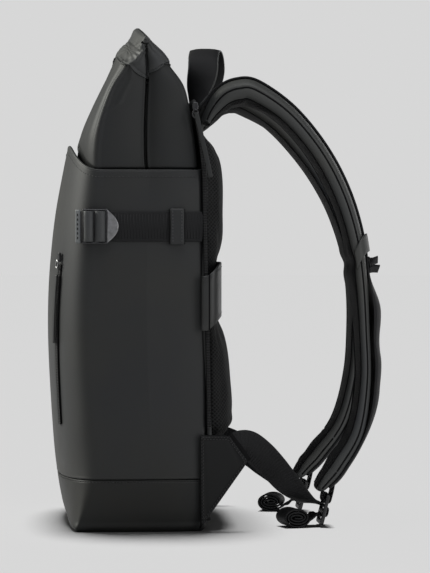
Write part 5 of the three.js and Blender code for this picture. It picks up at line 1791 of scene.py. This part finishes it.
CAMERA_AT = (2.5943, -0.0855, 0.250)
CAMERA_TURN, CAMERA_TILT = math.radians(3.5), math.radians(-0.485)
CAMERA_LENS, CAMERA_SENSOR = 165.5, 36
FLOOR_RINGS = (60, 6, 1, 0.01)
FLOOR_STEPS = 64
FLOOR_FINISH = {"Base Color": (0.8, 0.8, 0.8, 1), "Roughness": 0.95, "Specular IOR Level": 0.05}
FLOOR_LIGHT = {"place": (-0.32, -0.07, 2), "power": 2.6, "angle": math.radians(17)}
PALE = 0.68  # brightness of what is seen above the floor
AMBIENT = 0.05
BAG_MIDDLE = (0, 0.03, 0.25)
WHITE = (1, 1, 1)
# Soft lights: place, size, power, tint
SOFTBOXES = {
    "front_softbox": ((-0.55, -2.2, 1.6), (1.5, 1.5), 106, (1, 1, 0.93)),
    "top_softbox": ((0.9, 0.1, 2.3), (1.6, 1.6), 27, (0.98, 0.99, 1.02)),
    "back_softbox": ((1.6, 2.0, 0.8), (1.2, 1.6), 18, WHITE),
    "far_softbox": ((-1.9, 1.6, 0.7), (1.2, 1.4), 9, WHITE),
    "near_softbox": ((3.4, 0.4, 1.4), (3, 3), 5.6, (0.94, 0.98, 1.07)),
}


def camera():
    data = bpy.data.cameras.new("camera")
    data.lens = CAMERA_LENS
    data.sensor_width = CAMERA_SENSOR
    seen = bpy.data.objects.new("camera", data)
    bpy.context.scene.collection.objects.link(seen)
    seen.location = CAMERA_AT
    level = math.cos(CAMERA_TILT)
    look = Vector((-math.cos(CAMERA_TURN) * level, math.sin(CAMERA_TURN) * level, math.sin(CAMERA_TILT)))
    seen.rotation_euler = look.to_track_quat("-Z", "Y").to_euler()
    bpy.context.scene.camera = seen


def stage():
    """A pale floor that reaches far behind the bag."""
    turn = np.linspace(0, 2 * math.pi, FLOOR_STEPS, endpoint=False)
    rows = np.array(FLOOR_RINGS)[:, None, None] * level_direction(turn)
    mesh = grid_mesh("floor", rows / MM)
    material, _, _, _ = finish("pale_floor", FLOOR_FINISH)
    mesh.materials.append(material)
    floor = bpy.data.objects.new("floor", mesh)
    bpy.context.scene.collection.objects.link(floor)
    return floor


def lamp(name, kind, place, aim, power, tint=WHITE):
    data = bpy.data.lights.new(name, kind)
    data.energy = power
    data.color = tint
    light = bpy.data.objects.new(name, data)
    bpy.context.scene.collection.objects.link(light)
    light.location = place
    light.rotation_euler = (Vector(aim) - Vector(place)).to_track_quat("-Z", "Y").to_euler()
    return light


def softbox(floor, name, place, size, power, tint):
    """A soft light on the bag alone, so that the floor stays even."""
    light = lamp(name, "AREA", place, BAG_MIDDLE, power, tint)
    light.data.shape = "RECTANGLE"
    light.data.size, light.data.size_y = size
    lit = bpy.data.collections.new(f"{name}_skips")
    lit.objects.link(floor)
    light.light_linking.receiver_collection = lit
    lit.collection_objects[0].light_linking.link_state = "EXCLUDE"


def floor_light(floor):
    """Wide even light on the floor alone; the bag's soft shadow falls towards the camera."""
    light = lamp("floor_light", "SUN", FLOOR_LIGHT["place"], (0, 0, 0), FLOOR_LIGHT["power"])
    light.data.angle = FLOOR_LIGHT["angle"]
    lit = bpy.data.collections.new("floor_light_reaches")
    lit.objects.link(floor)
    light.light_linking.receiver_collection = lit
    return light


def keep_shade_tight(light):
    """Straps and handle, high above the floor, leave no shade of their own."""
    light.light_linking.blocker_collection = SHADELESS
    for entry in SHADELESS.collection_objects:
        entry.light_linking.link_state = "EXCLUDE"


def surroundings():
    """Dim light from all round, with the floor's tone where the camera looks past the floor."""
    world = bpy.data.worlds.new("studio")
    world.use_nodes = True
    node, link = world.node_tree.nodes.new, world.node_tree.links.new
    dim = world.node_tree.nodes["Background"]
    dim.inputs["Color"].default_value = (1, 1, 1, 1)
    dim.inputs["Strength"].default_value = AMBIENT
    pale = node("ShaderNodeBackground")
    pale.inputs["Color"].default_value = (PALE, PALE, PALE, 1)
    seen = node("ShaderNodeMixShader")
    link(node("ShaderNodeLightPath").outputs["Is Camera Ray"], seen.inputs["Fac"])
    link(dim.outputs["Background"], seen.inputs[1])
    link(pale.outputs["Background"], seen.inputs[2])
    link(seen.outputs["Shader"], world.node_tree.nodes["World Output"].inputs["Surface"])
    bpy.context.scene.world = world


def studio():
    camera()
    floor = stage()
    sun = floor_light(floor)
    for name, settings in SOFTBOXES.items():
        softbox(floor, name, *settings)
    surroundings()
    bpy.context.scene.view_settings.view_transform = "Standard"
    return sun


# The whole bag

floor_sun = studio()
base()
shell()
collar()
cap()
back_panel()
back_pads()
luggage_band()
grab_handle()
for bag_side in SIDES:
    strap_pad(bag_side)
    strap_strip(bag_side)
    strap_cuff(bag_side)
    chest_tab(bag_side)
    wing(bag_side)
    lower_webbing(bag_side)
    webbing_roll(bag_side)
    strap_buckle(bag_side)
    strap_end_tab(bag_side)
    side_straps(bag_side)
    side_buckle(bag_side)
    side_loops(bag_side)
    anchor_bar(bag_side)
    side_keeper(bag_side)
front_zip()
back_zip()
for pattern in (STITCH_PATTERN, RIB_PATTERN, TOOTH_PATTERN):
    bpy.data.objects.remove(pattern)

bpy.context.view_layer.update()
keep_shade_tight(floor_sun)
